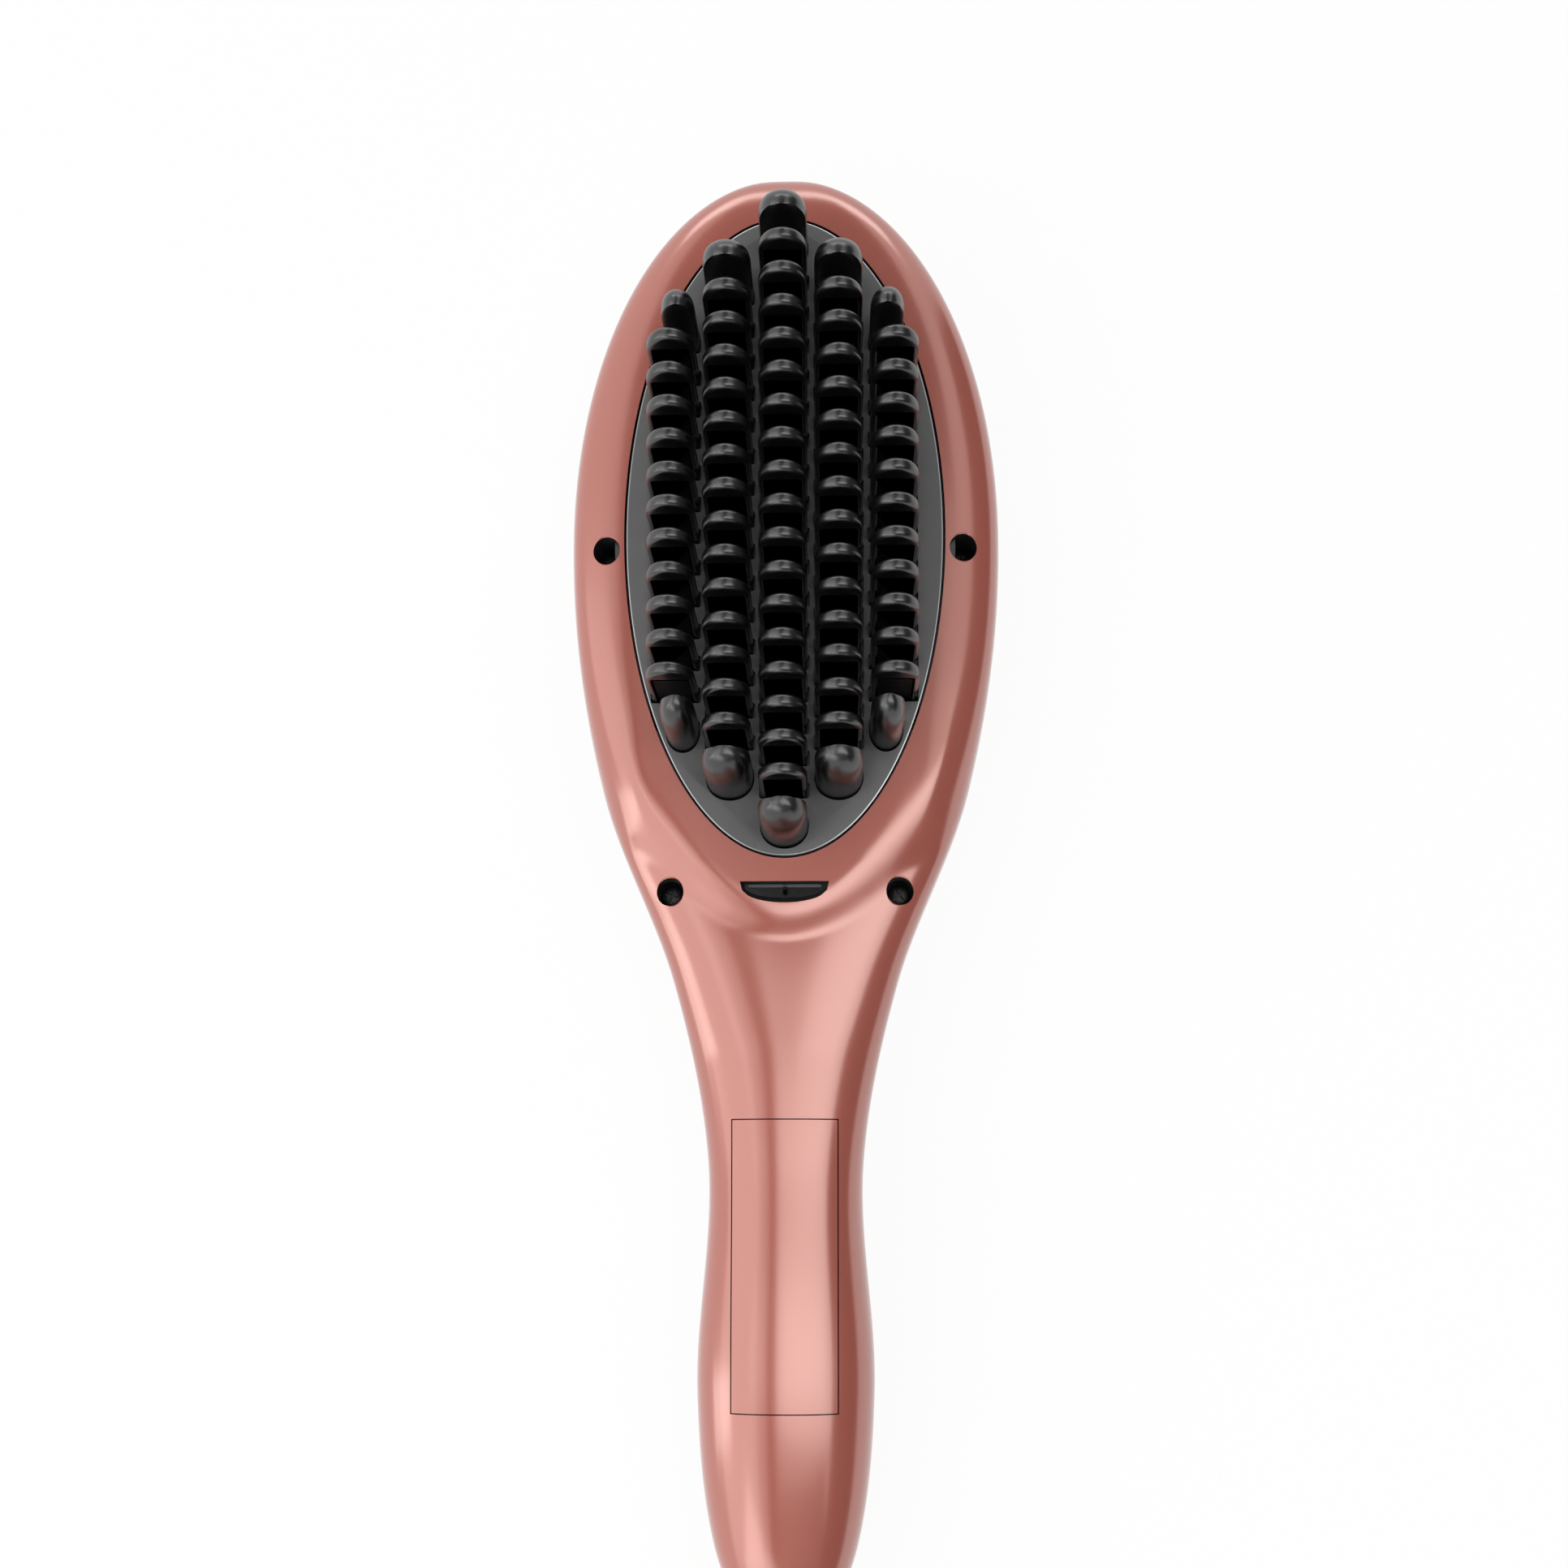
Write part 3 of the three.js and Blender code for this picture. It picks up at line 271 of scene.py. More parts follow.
def along(line, reach):
    """The smooth line through (reach, value) pairs, level where it starts."""
    if reach >= line[-1][0]:
        return line[-1][1]
    slopes = [(b[1] - a[1]) / (b[0] - a[0]) for a, b in zip(line, line[1:])]
    i = max(k for k in range(len(line) - 1) if line[k][0] <= reach)
    (start, low), (stop, high) = line[i], line[i + 1]
    leaving = 0.0 if i == 0 else (slopes[i - 1] + slopes[i]) / 2
    arriving = slopes[i] if i + 1 == len(slopes) else (slopes[i] + slopes[i + 1]) / 2
    span = stop - start
    t = (reach - start) / span
    return ((2 * t**3 - 3 * t**2 + 1) * low + (t**3 - 2 * t**2 + t) * span * leaving
            + (3 * t**2 - 2 * t**3) * high + (t**3 - t**2) * span * arriving)


def ramp(value, start, run):
    """Nothing up to the start, and one from the end of the run."""
    return min(max(value - start, 0) / run, 1)


def closing(ahead, reach, power):
    """One at the oval's middle, falling to nothing at the given reach ahead of it."""
    return max(1 - min(ahead / reach, 1) ** power, 0) ** (1 / power)


def round_over(reach, inset):
    """How far the section draws in, above all where the handle's end is rounded over."""
    if inset:
        return inset
    past = min(max(reach - (END_REACH - END_ROUND), 0), END_ROUND)
    return END_ROUND - math.sqrt(END_ROUND**2 - past**2)


def half_width(reach, inset=0.0):
    if reach < 0:
        return (HEAD_HALF - inset) * closing(-reach, TIP_REACH - inset, TIP_SQUARENESS)
    return along(half_width_line, reach) - round_over(reach, inset)


def bow(x, half, power):
    """One on the middle line, falling to nothing at the half width."""
    share = min(abs(x) / half, 1) if half > 1e-6 else 1
    return (1 - share**power) ** (1 / power)


def softly(low, high, blend):
    """The lower of two heights, rounded where they cross."""
    near = max(blend - abs(low - high), 0) / blend
    return min(low, high) - near * near * blend / 4


def oval_share(x, y, power):
    """One on the outline of a unit oval, less inside it and more outside."""
    return (abs(x) ** power + abs(y) ** power) ** (1 / power)


def front_height(x, reach, inset=0.0):
    """The front's height: the crown, cut off level as the deck, and the body that it stands on."""
    half = half_width(reach, inset)
    if reach < 0:
        body = (body_line[0][1] - inset) * closing(-reach, TIP_REACH - inset, BODY_SQUARENESS)
        crown = (crown_line[0][1] - inset) * closing(-reach, TIP_REACH - inset, CROWN_SQUARENESS)
    else:
        body = along(body_line, reach) - round_over(reach, inset)
        crown = along(crown_line, reach) - round_over(reach, inset)
    down = max(reach, 0)
    top = DECK - JOINT - inset
    edge = oval_share(x / DECK_HALF, down / DECK_REACH, DECK_OUTLINE)
    roll = max(ROLL_WIDTH - ROLL_SPREAD * (1 - edge), 0)
    growing = ramp(reach, ROLL_START, ROLL_RUN)
    flat = top - ROLL_DEPTH * roll**2 * growing**2 * (3 - 2 * growing)
    deck = softly(crown * bow(x, half, along(crown_power_line, down)), flat, CROWN_BLEND)
    share = min(abs(x) / half, 1) if half > 1 else 0
    flank = ramp(reach, FLANK_START, FLANK_RUN) * share**2 * bow(x, half, FLANK_POWER)
    body *= bow(x, half, along(body_power_line, down))
    level = -softly(-deck, -body, BODY_BLEND + FLANK_BLEND * flank)
    return JOINT + (min(level, top) if reach < THROAT else level)


def back_height(x, reach, inset=0.0):
    """The back's height: one long hull, cut flat where the brush lies on it."""
    half = half_width(reach, inset)
    if reach < 0:
        depth = (depth_line[0][1] - inset) * closing(-reach, TIP_REACH - inset, BACK_SQUARENESS)
    else:
        depth = along(depth_line, reach) - round_over(reach, inset)
    return -softly(depth * bow(x, half, BACK_POWER) - JOINT, -inset, FLAT_BLEND)


def rows(start, pitch, count):
    return [start + pitch * i for i in range(1, count + 1)]


# Cells across the case and round the tip, and rows down it, closest where the deck ends
ACROSS = 52
ROUND_TIP = 88
row_reaches = rows(0, 1.5, 37) + rows(55.5, 0.55, 38) + rows(76.4, 1.4, 76)
row_reaches += [END_REACH - END_ROUND + END_ROUND * math.sin(math.radians(15 * i)) for i in range(7)]
SPECK = 1e-5


def case_skin(height, inset, joint):
    """One skin of the case: a half disc spun for the head, rows drawn out behind it for the handle."""
    skin = bmesh.new()
    spokes = [skin.verts.new((i / ACROSS, 0, 0)) for i in range(ACROSS + 1)]
    rays = [skin.edges.new(pair) for pair in zip(spokes, spokes[1:])]
    bmesh.ops.spin(skin, geom=spokes + rays, axis=(0, 0, 1), cent=(0, 0, 0), angle=math.pi, steps=ROUND_TIP)
    bmesh.ops.remove_doubles(skin, verts=skin.verts, dist=SPECK)
    line = [e for e in skin.edges if all(abs(v.co.y) < SPECK for v in e.verts)]
    for reach in row_reaches:
        grown = bmesh.ops.extrude_edge_only(skin, edges=line)["geom"]
        fresh = {g for g in grown if isinstance(g, bmesh.types.BMVert)}
        line = [g for g in grown if isinstance(g, bmesh.types.BMEdge) and set(g.verts) <= fresh]
        for vertex in fresh:
            vertex.co.y = -reach
    end_row = sorted({v for e in line for v in e.verts}, key=lambda v: v.co.x)
    skin.faces.new(end_row)
    for vertex in skin.verts:
        u, v = vertex.co.x, vertex.co.y
        if v > SPECK:
            out = math.sin(min(math.hypot(u, v), 1) * math.pi / 2)
            turn = math.atan2(v, u)
            across = math.copysign(abs(math.cos(turn)) ** (2 / TIP_SQUARENESS), math.cos(turn))
            x = (HEAD_HALF - inset) * across * out
            reach = -(TIP_REACH - inset) * math.sin(turn) ** (2 / TIP_SQUARENESS) * out
        else:
            reach = min(-v, END_REACH - inset)
            x = half_width(reach, inset) * math.copysign(math.sin(min(abs(u), 1) * math.pi / 2), u)
        z = height(x, reach, inset)
        z = max(z, joint) if joint > JOINT else min(z, joint)
        vertex.co = (x, MIDDLE - reach, z)
    return skin


def joined(*meshes):
    whole = bmesh.new()
    for part in meshes:
        carrier = bpy.data.meshes.new("carrier")
        part.to_mesh(carrier)
        part.free()
        whole.from_mesh(carrier)
        bpy.data.meshes.remove(carrier)
    return whole


# The case is cut while its faces are only marked, and gets its paint when it is finished
# Bare faces are black moulding, and in the deep well bores and the outlet's mouth that black is painted shade
PAINTED, BARE_AND_SHADE = 0, 1
face_kinds = [bpy.data.materials.new(kind) for kind in ("painted", "bare")]


def faced(part, kind):
    """The same piece with all its faces painted, or all bare black, which is painted shade in the deep
    recesses.
    """
    for face in part.faces:
        face.material_index = kind
    return part


def case_half(height, joint):
    """An outer skin and a bare inner one, bridged along the joint. In the back half the bridge still
    runs across the opening instead of round it, a fault that isn't mended."""
    shell = joined(case_skin(height, 0.0, joint), faced(case_skin(height, WALL, joint), BARE_AND_SHADE))
    rims = [e for e in shell.edges if e.is_boundary]
    for face in bmesh.ops.bridge_loops(shell, edges=rims)["faces"]:
        face.material_index = BARE_AND_SHADE
    bmesh.ops.recalc_face_normals(shell, faces=shell.faces)
    return shell


def carved(stock, tool, operation="DIFFERENCE"):
    """stock with tool cut out of it, joined to it, or kept only inside it."""
    pair = []
    for name, part in (("stock", stock), ("tool", tool)):
        mesh = bpy.data.meshes.new(name)
        part.to_mesh(mesh)
        part.free()
        for kind in face_kinds:
            mesh.materials.append(kind)
        pair.append(bpy.data.objects.new(name, mesh))
        bpy.context.scene.collection.objects.link(pair[-1])
    cut = pair[0].modifiers.new("cut", "BOOLEAN")
    cut.operation = operation
    cut.solver = "MANIFOLD"
    cut.object = pair[1]
    result = bmesh.new()
    result.from_object(pair[0], bpy.context.evaluated_depsgraph_get())
    for used in pair:
        mesh = used.data
        bpy.data.objects.remove(used)
        bpy.data.meshes.remove(mesh)
    return result


def oval_post(half_x, half_y, low, high, sides=160):
    """A flat-ended post with an oval outline, centred on the oval's middle."""
    post = bmesh.new()
    bmesh.ops.create_cone(post, cap_ends=True, segments=sides, radius1=1, radius2=1, depth=high - low)
    bmesh.ops.scale(post, verts=post.verts, vec=(half_x, half_y, 1))
    bmesh.ops.translate(post, verts=post.verts, vec=(0, MIDDLE, (low + high) / 2))
    return post


def turned(profile, sides, place=(0, 0, 0), axis="Z"):
    """A solid of revolution from (radius, height) pairs, closed on the axis or as a ring."""
    piece = bmesh.new()
    line = [piece.verts.new((radius, 0, height)) for radius, height in profile]
    edges = [piece.edges.new(pair) for pair in zip(line, line[1:])]
    bmesh.ops.spin(piece, geom=line + edges, axis=(0, 0, 1), cent=(0, 0, 0), angle=2 * math.pi, steps=sides,
                   use_merge=True)
    bmesh.ops.remove_doubles(piece, verts=piece.verts, dist=SPECK)
    if axis == "Y":
        lay_down = Matrix.Rotation(-math.pi / 2, 3, "X")
        bmesh.ops.rotate(piece, verts=piece.verts, cent=(0, 0, 0), matrix=lay_down)
    bmesh.ops.translate(piece, verts=piece.verts, vec=place)
    bmesh.ops.recalc_face_normals(piece, faces=piece.faces)
    return piece


def stacked(levels):
    """A closed solid through level outlines of equal count, given as (points, z)."""
    stack = bmesh.new()
    loops = []
    for points, z in levels:
        ring = [stack.verts.new((x, y, z)) for x, y in points]
        loops.append([stack.edges.new(pair) for pair in zip(ring, ring[1:] + ring[:1])])
        if z in (levels[0][1], levels[-1][1]):
            stack.faces.new(ring)
    for lower, upper in zip(loops, loops[1:]):
        bmesh.ops.bridge_loops(stack, edges=lower + upper)
    bmesh.ops.recalc_face_normals(stack, faces=stack.faces)
    return stack


def as_piece(name, part, finishes, body, slot, *replaced, sharp=32):
    """From millimetres to metres, with the piece's finishes, its body and the nodes it stands for."""
    bmesh.ops.scale(part, verts=part.verts, vec=(0.001, 0.001, 0.001))
    mesh = bpy.data.meshes.new(name)
    part.to_mesh(mesh)
    part.free()
    mesh.shade_smooth()
    mesh.set_sharp_from_angle(angle=math.radians(sharp))
    for surface in finishes:
        mesh.materials.append(surface)
    piece = bpy.data.objects.new(name, mesh)
    bpy.context.scene.collection.objects.link(piece)
    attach(piece, body)
    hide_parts(*replaced)
    return piece


def effect(name, inputs, outputs):
    """An empty node group with the named sockets, and its two ends."""
    group = bpy.data.node_groups.new(name, "ShaderNodeTree")
    for label, kind, value in inputs:
        socket = group.interface.new_socket(name=label, in_out="INPUT", socket_type=kind)
        socket.default_value = value
    for label, kind in outputs:
        group.interface.new_socket(name=label, in_out="OUTPUT", socket_type=kind)
    return group, group.nodes.new("NodeGroupInput"), group.nodes.new("NodeGroupOutput")


# Moulded grain: slow drifts of shade and gloss, and a fine relief, as on any moulded or painted skin
GRAIN_DEPTH = 0.0001
grain, grain_in, grain_out = effect(
    "moulded_grain",
    [("Color", "NodeSocketColor", (0.5, 0.5, 0.5, 1)), ("Shade", "NodeSocketColor", (0.4, 0.4, 0.4, 1)),
     ("Drift", "NodeSocketFloat", 60.0), ("Roughness", "NodeSocketFloat", 0.4),
     ("Spread", "NodeSocketFloat", 0.05), ("Fineness", "NodeSocketFloat", 2500.0),
     ("Relief", "NodeSocketFloat", 0.1)],
    [("Color", "NodeSocketColor"), ("Roughness", "NodeSocketFloat"), ("Normal", "NodeSocketVector")],
)
grain_place = grain.nodes.new("ShaderNodeTexCoord")
grain_drift = grain.nodes.new("ShaderNodeTexNoise")
grain_drift.inputs["Detail"].default_value = 3
grain_fine = grain.nodes.new("ShaderNodeTexNoise")
grain_fine.inputs["Detail"].default_value = 2
grain_mix = grain.nodes.new("ShaderNodeMix")
grain_mix.data_type = "RGBA"
grain_centre = grain.nodes.new("ShaderNodeMath")
grain_centre.operation = "SUBTRACT"
grain_centre.inputs[1].default_value = 0.5
grain_gloss = grain.nodes.new("ShaderNodeMath")
grain_gloss.operation = "MULTIPLY_ADD"
grain_bump = grain.nodes.new("ShaderNodeBump")
grain_bump.inputs["Distance"].default_value = GRAIN_DEPTH
for start, end in (
    (grain_place.outputs["Object"], grain_drift.inputs["Vector"]),
    (grain_place.outputs["Object"], grain_fine.inputs["Vector"]),
    (grain_in.outputs["Drift"], grain_drift.inputs["Scale"]),
    (grain_in.outputs["Fineness"], grain_fine.inputs["Scale"]),
    (grain_drift.outputs["Fac"], grain_mix.inputs["Factor"]),
    (grain_in.outputs["Color"], grain_mix.inputs["A"]),
    (grain_in.outputs["Shade"], grain_mix.inputs["B"]),
    (grain_mix.outputs["Result"], grain_out.inputs["Color"]),
    (grain_fine.outputs["Fac"], grain_centre.inputs[0]),
    (grain_centre.outputs[0], grain_gloss.inputs[0]),
    (grain_in.outputs["Spread"], grain_gloss.inputs[1]),
    (grain_in.outputs["Roughness"], grain_gloss.inputs[2]),
    (grain_gloss.outputs[0], grain_out.inputs["Roughness"]),
    (grain_fine.outputs["Fac"], grain_bump.inputs["Height"]),
    (grain_in.outputs["Relief"], grain_bump.inputs["Strength"]),
    (grain_bump.outputs["Normal"], grain_out.inputs["Normal"]),
):
    grain.links.new(start, end)


def finish(name, color, shade, roughness, spread, drift, fineness, relief, **fixed):
    """A material that takes colour, gloss and relief from the grain, and its other values as given."""
    material = bpy.data.materials.new(name)
    material.use_nodes = True
    tree = material.node_tree
    shader = tree.nodes["Principled BSDF"]
    skin = tree.nodes.new("ShaderNodeGroup")
    skin.node_tree = grain
    skin.inputs["Color"].default_value = (*color, 1)
    skin.inputs["Shade"].default_value = (*shade, 1)
    skin.inputs["Roughness"].default_value = roughness
    skin.inputs["Spread"].default_value = spread
    skin.inputs["Drift"].default_value = drift
    skin.inputs["Fineness"].default_value = fineness
    skin.inputs["Relief"].default_value = relief
    tree.links.new(skin.outputs["Color"], shader.inputs["Base Color"])
    tree.links.new(skin.outputs["Roughness"], shader.inputs["Roughness"])
    tree.links.new(skin.outputs["Normal"], shader.inputs["Normal"])
    for label, value in fixed.items():
        shader.inputs[label.replace("_", " ")].default_value = value
    return material


rose_paint = finish(
    "rose_paint", (0.47, 0.117, 0.085), (0.45, 0.11, 0.079), 0.21, 0.02, 45, 3800, 0.008,
    IOR=2.4, Specular_Tint=(1, 0.68, 0.61, 1), Coat_Weight=0.6, Coat_Roughness=0.14,
)
# Bare black for the inner faces, seams and cut walls; in the well bores and the outlet's mouth it is painted
# shade
bare_black_and_shade = finish("bare_black_and_shade", (0.012, 0.012, 0.012), (0.016, 0.016, 0.016), 0.6, 0.1, 60, 2600, 0.2)

OVAL_HALF_X = 27.25
OVAL_HALF_Y = 55.1
FLANGE = 1.8
LIP = 0.22
SCREW_HEAD_RADIUS = 2.0
SCREW_HEAD_HEIGHT = 1.6
SHANK_RADIUS = 1.25
SHANK_HOLE = SHANK_RADIUS + GAP
SHANK_HOLE_LOW = 13.0
WELL_RADIUS = 2.33
WELL_FLOOR = 16.0
BOSS_RADIUS = WELL_RADIUS + 1.05
BOSS_DROP = 0.6
well_places = [tuple(middle_of(f"head_screw_{number}").xy) for number in range(1, 6)]
handle_screws = [tuple(middle_of(f"handle_screw_{number}").xy) for number in (1, 2)]
HANDLE_BOSS_TOP = 20.5
HANDLE_SCREW_SEAT = 18.9
SEAT_WEB = 0.9
PANEL_HALF = cad_mm("handle_panel")[1].x
PANEL_BOTTOM, PANEL_TOP = (corner.y for corner in cad_mm("handle_panel"))
PANEL_SEAM = 0.2
PANEL_THICK = 1.4
TRAY_RIM = 1.85
TRAY_THICK = 1.5
OUTLET_TOP = MIDDLE - 59
OUTLET_HALF = 7.5
OUTLET_DROP = 3.6
OUTLET_FLOOR = 22.3
PLATE_SEAT_TOP = 23.0
OPENING_FLOOR = 21.0


def rounded_corner_plan(part, corner, segments=4):
    """Rounds the upright edges of a box."""
    upright = [e for e in part.edges if abs(e.verts[0].co.z - e.verts[1].co.z) > 0.5]
    bmesh.ops.bevel(part, geom=upright, offset=corner, segments=segments, profile=0.5, affect="EDGES",
                    material=-1)


def block(x_low, x_high, y_low, y_high, z_low, z_high):
    part = bmesh.new()
    bmesh.ops.create_cube(part, size=1)
    size = (x_high - x_low, y_high - y_low, z_high - z_low)
    centre = ((x_low + x_high) / 2, (y_low + y_high) / 2, (z_low + z_high) / 2)
    bmesh.ops.scale(part, verts=part.verts, vec=size)
    bmesh.ops.translate(part, verts=part.verts, vec=centre)
    return part


def patch(x_half, y_low, y_high, height, outer, inner, steps_x=28, steps_y=80):
    """A slab that follows the case's skin, between two offsets from it."""
    slab = bmesh.new()
    bmesh.ops.create_grid(slab, x_segments=steps_x, y_segments=steps_y, size=1)
    upper = list(slab.verts)
    grown = bmesh.ops.extrude_face_region(slab, geom=list(slab.faces))["geom"]
    lower = [g for g in grown if isinstance(g, bmesh.types.BMVert)]
    for vertices, offset in ((upper, outer), (lower, inner)):
        for vertex in vertices:
            x = vertex.co.x * x_half
            y = (y_low + y_high) / 2 + vertex.co.y * (y_high - y_low) / 2
            vertex.co = (x, y, height(x, MIDDLE - y) + offset)
    bmesh.ops.recalc_face_normals(slab, faces=slab.faces)
    return slab


def post(radius, low, high, x, y, sides=40):
    return turned([(0, low), (radius, low), (radius, high), (0, high)], sides, (x, y, 0))


def well(x, y):
    """The bore of one screw well, whose bare black is painted shade, and the fine painted lip that opens its
    mouth.
    """
    reach = MIDDLE - y
    rim = front_height(x, reach)
    bore = [
        (0, SHANK_HOLE_LOW), (SHANK_HOLE, SHANK_HOLE_LOW), (SHANK_HOLE, WELL_FLOOR),
        (WELL_RADIUS, WELL_FLOOR), (WELL_RADIUS, rim + 4), (0, rim + 4),
    ]
    lip = turned([(0, -LIP), (WELL_RADIUS, -LIP), (WELL_RADIUS + 2 * LIP, LIP), (0, LIP)], 40)
    square = Vector((front_height(x + 1, reach) - front_height(x - 1, reach),
                     front_height(x, reach - 1) - front_height(x, reach + 1), -2)) / -2
    lean = Vector((0, 0, 1)).rotation_difference(square).to_matrix()
    bmesh.ops.rotate(lip, verts=lip.verts, cent=(0, 0, 0), matrix=lean)
    bmesh.ops.translate(lip, verts=lip.verts, vec=(x, y, rim))
    return faced(turned(bore, 40, (x, y, 0)), BARE_AND_SHADE), lip


def outlet_mouth():
    """Straight towards the teeth and bowed towards the handle, with its lower wall sloping in."""
    levels = []
    for half, drop, z in (
        (OUTLET_HALF - 0.7, OUTLET_DROP - 1.5, OUTLET_FLOOR),
        (OUTLET_HALF, OUTLET_DROP, DECK),
        (OUTLET_HALF, OUTLET_DROP, DECK + 2),
    ):
        bend_x = 0.955 * half
        bend_y = -0.42 * drop
        curve = [(-half, 0), (-bend_x, bend_y)]
        for k in range(14):
            turn = math.radians(-78 + 12 * k)
            curve.append((half * 0.9 * math.sin(turn), -drop * (0.45 + 0.55 * math.cos(turn))))
        curve += [(bend_x, bend_y), (half, 0)]
        levels.append(([(x, OUTLET_TOP + y) for x, y in curve], z))
    return stacked(levels)


def skin_round(height, x, y, radius):
    """The skin's heights on a ring round a place."""
    turns = [math.radians(30 * k) for k in range(12)]
    return [height(abs(x) + radius * math.cos(a), MIDDLE - y - radius * math.sin(a)) for a in turns]


front_shell = case_half(front_height, JOINT + SEAM)
bosses = []
for x, y in well_places:
    lowest = min(skin_round(front_height, x, y, BOSS_RADIUS))
    bosses.append(post(BOSS_RADIUS, JOINT + SEAM, lowest - BOSS_DROP, x, y))
for x, y in handle_screws:
    bosses.append(post(BOSS_RADIUS, JOINT + SEAM, HANDLE_BOSS_TOP, x, y))
front_shell = carved(front_shell, faced(joined(*bosses), BARE_AND_SHADE), "UNION")
tray = patch(PANEL_HALF + TRAY_RIM, PANEL_BOTTOM - TRAY_RIM, PANEL_TOP + TRAY_RIM, front_height,
             -0.5, -PANEL_THICK - GAP - TRAY_THICK)
front_shell = carved(front_shell, faced(tray, BARE_AND_SHADE), "UNION")
plate_seat = oval_post(OVAL_HALF_X + FLANGE + GAP, OVAL_HALF_Y + FLANGE + GAP, JOINT + SEAM, PLATE_SEAT_TOP)
front_shell = carved(front_shell, faced(plate_seat, BARE_AND_SHADE))
oval_lip = oval_post(OVAL_HALF_X + LIP, OVAL_HALF_Y + LIP, DECK - LIP, DECK + 1)
for vertex in oval_lip.verts:
    if vertex.co.z < DECK:
        vertex.co.x *= (OVAL_HALF_X - LIP) / (OVAL_HALF_X + LIP)
        vertex.co.y = MIDDLE + (vertex.co.y - MIDDLE) * (OVAL_HALF_Y - LIP) / (OVAL_HALF_Y + LIP)
front_shell = carved(front_shell, oval_lip)
plate_opening = oval_post(OVAL_HALF_X, OVAL_HALF_Y, OPENING_FLOOR, DECK + 3)
front_shell = carved(front_shell, faced(plate_opening, BARE_AND_SHADE))
for x, y in well_places:
    bore, lip = well(x, y)
    front_shell = carved(front_shell, lip)
    front_shell = carved(front_shell, bore)
for x, y in handle_screws:
    head_pocket = post(SCREW_HEAD_RADIUS + GAP, HANDLE_SCREW_SEAT, DECK + 2, x, y)
    shank_hole = post(SHANK_HOLE, SHANK_HOLE_LOW, HANDLE_SCREW_SEAT - SEAT_WEB, x, y)
    front_shell = carved(front_shell, faced(joined(head_pocket, shank_hole), BARE_AND_SHADE))
# The outlet's mouth is walled in bare black, which is painted shade for the recess
front_shell = carved(front_shell, faced(outlet_mouth(), BARE_AND_SHADE))
recess = patch(PANEL_HALF + PANEL_SEAM, PANEL_BOTTOM - PANEL_SEAM, PANEL_TOP + PANEL_SEAM, front_height,
               3.0, -PANEL_THICK - GAP)
front_shell = carved(front_shell, faced(recess, BARE_AND_SHADE))

COLLAR_NECK = 4.5
COLLAR_FLANGE = 5.5
COLLAR_FLANGE_LENGTH = 1.8
CASE_END = cad_mm("front_housing")[0].y


def collar_way():
    """The grooved hole at the end of the handle, in which the collar turns."""
    hole = COLLAR_NECK + GAP
    groove = COLLAR_FLANGE + GAP
    start = CASE_END + WALL
    stop = start + COLLAR_FLANGE_LENGTH + 2 * GAP
    low = CASE_END - 2
    profile = [(0, low), (hole, low), (hole, start), (groove, start), (groove, stop), (0, stop)]
    return faced(turned(profile, 48, (0, 0, JOINT), "Y"), BARE_AND_SHADE)


front_shell = carved(front_shell, collar_way())
as_piece("front_shell", front_shell, (rose_paint, bare_black_and_shade), "brush_body", "rose_paint", "front_housing")

# Inlaid panel on the handle: a thin moulded strip in the same paint, laid flush in its recess
handle_inlay = patch(PANEL_HALF, PANEL_BOTTOM, PANEL_TOP, front_height, 0.0, -PANEL_THICK)
as_piece("handle_inlay", handle_inlay, (rose_paint,), "brush_body", "rose_paint", "handle_panel")

# Back shell: the moulded lower half, painted like the front. It is cut flat where the brush lies on
# it, carries the towers that the case screws bite into, and has the openings for lens and buttons.
rear_shell = case_half(back_height, JOINT - SEAM)
TOWER_RADIUS = 3.0
TOWER_START = 0.5
towers = []
for x, y in well_places + handle_screws:
    highest = max(skin_round(back_height, x, y, TOWER_RADIUS))
    towers.append(post(TOWER_RADIUS, highest + TOWER_START, JOINT - SEAM, x, y))
rear_shell = carved(rear_shell, faced(joined(*towers), BARE_AND_SHADE), "UNION")
HEAD_PILOT_FLOOR = 8.2
HANDLE_PILOT_FLOOR = 11.2
PILOT_TOP = 16.0
pilots = [post(SHANK_HOLE, HEAD_PILOT_FLOOR, PILOT_TOP, x, y) for x, y in well_places]
pilots += [post(SHANK_HOLE, HANDLE_PILOT_FLOOR, PILOT_TOP, x, y) for x, y in handle_screws]
rear_shell = carved(rear_shell, faced(joined(*pilots), BARE_AND_SHADE))

INNER_LIP = 0.9
LENS_Y = middle_of("display_lens").y
LENS_HALF_X = 5.5
LENS_HALF_Y = 8.0
button_radii = {"power": 4.4, "plus": 3.5, "minus": 3.5}
OPENING_LOW = -1
OPENING_HIGH = 11
lens_hole = block(-LENS_HALF_X - GAP, LENS_HALF_X + GAP,
                  LENS_Y - LENS_HALF_Y - GAP, LENS_Y + LENS_HALF_Y + GAP, OPENING_LOW, OPENING_HIGH)
rounded_corner_plan(lens_hole, 1.8)
holes = [lens_hole]
for name, radius in button_radii.items():
    holes.append(post(radius + GAP, OPENING_LOW, OPENING_HIGH, 0, middle_of(f"{name}_button").y, 56))
rear_shell = carved(rear_shell, faced(joined(*holes), BARE_AND_SHADE))
rear_shell = carved(rear_shell, collar_way())
as_piece("rear_shell", rear_shell, (rose_paint, bare_black_and_shade), "brush_body", "rose_paint", "rear_housing")

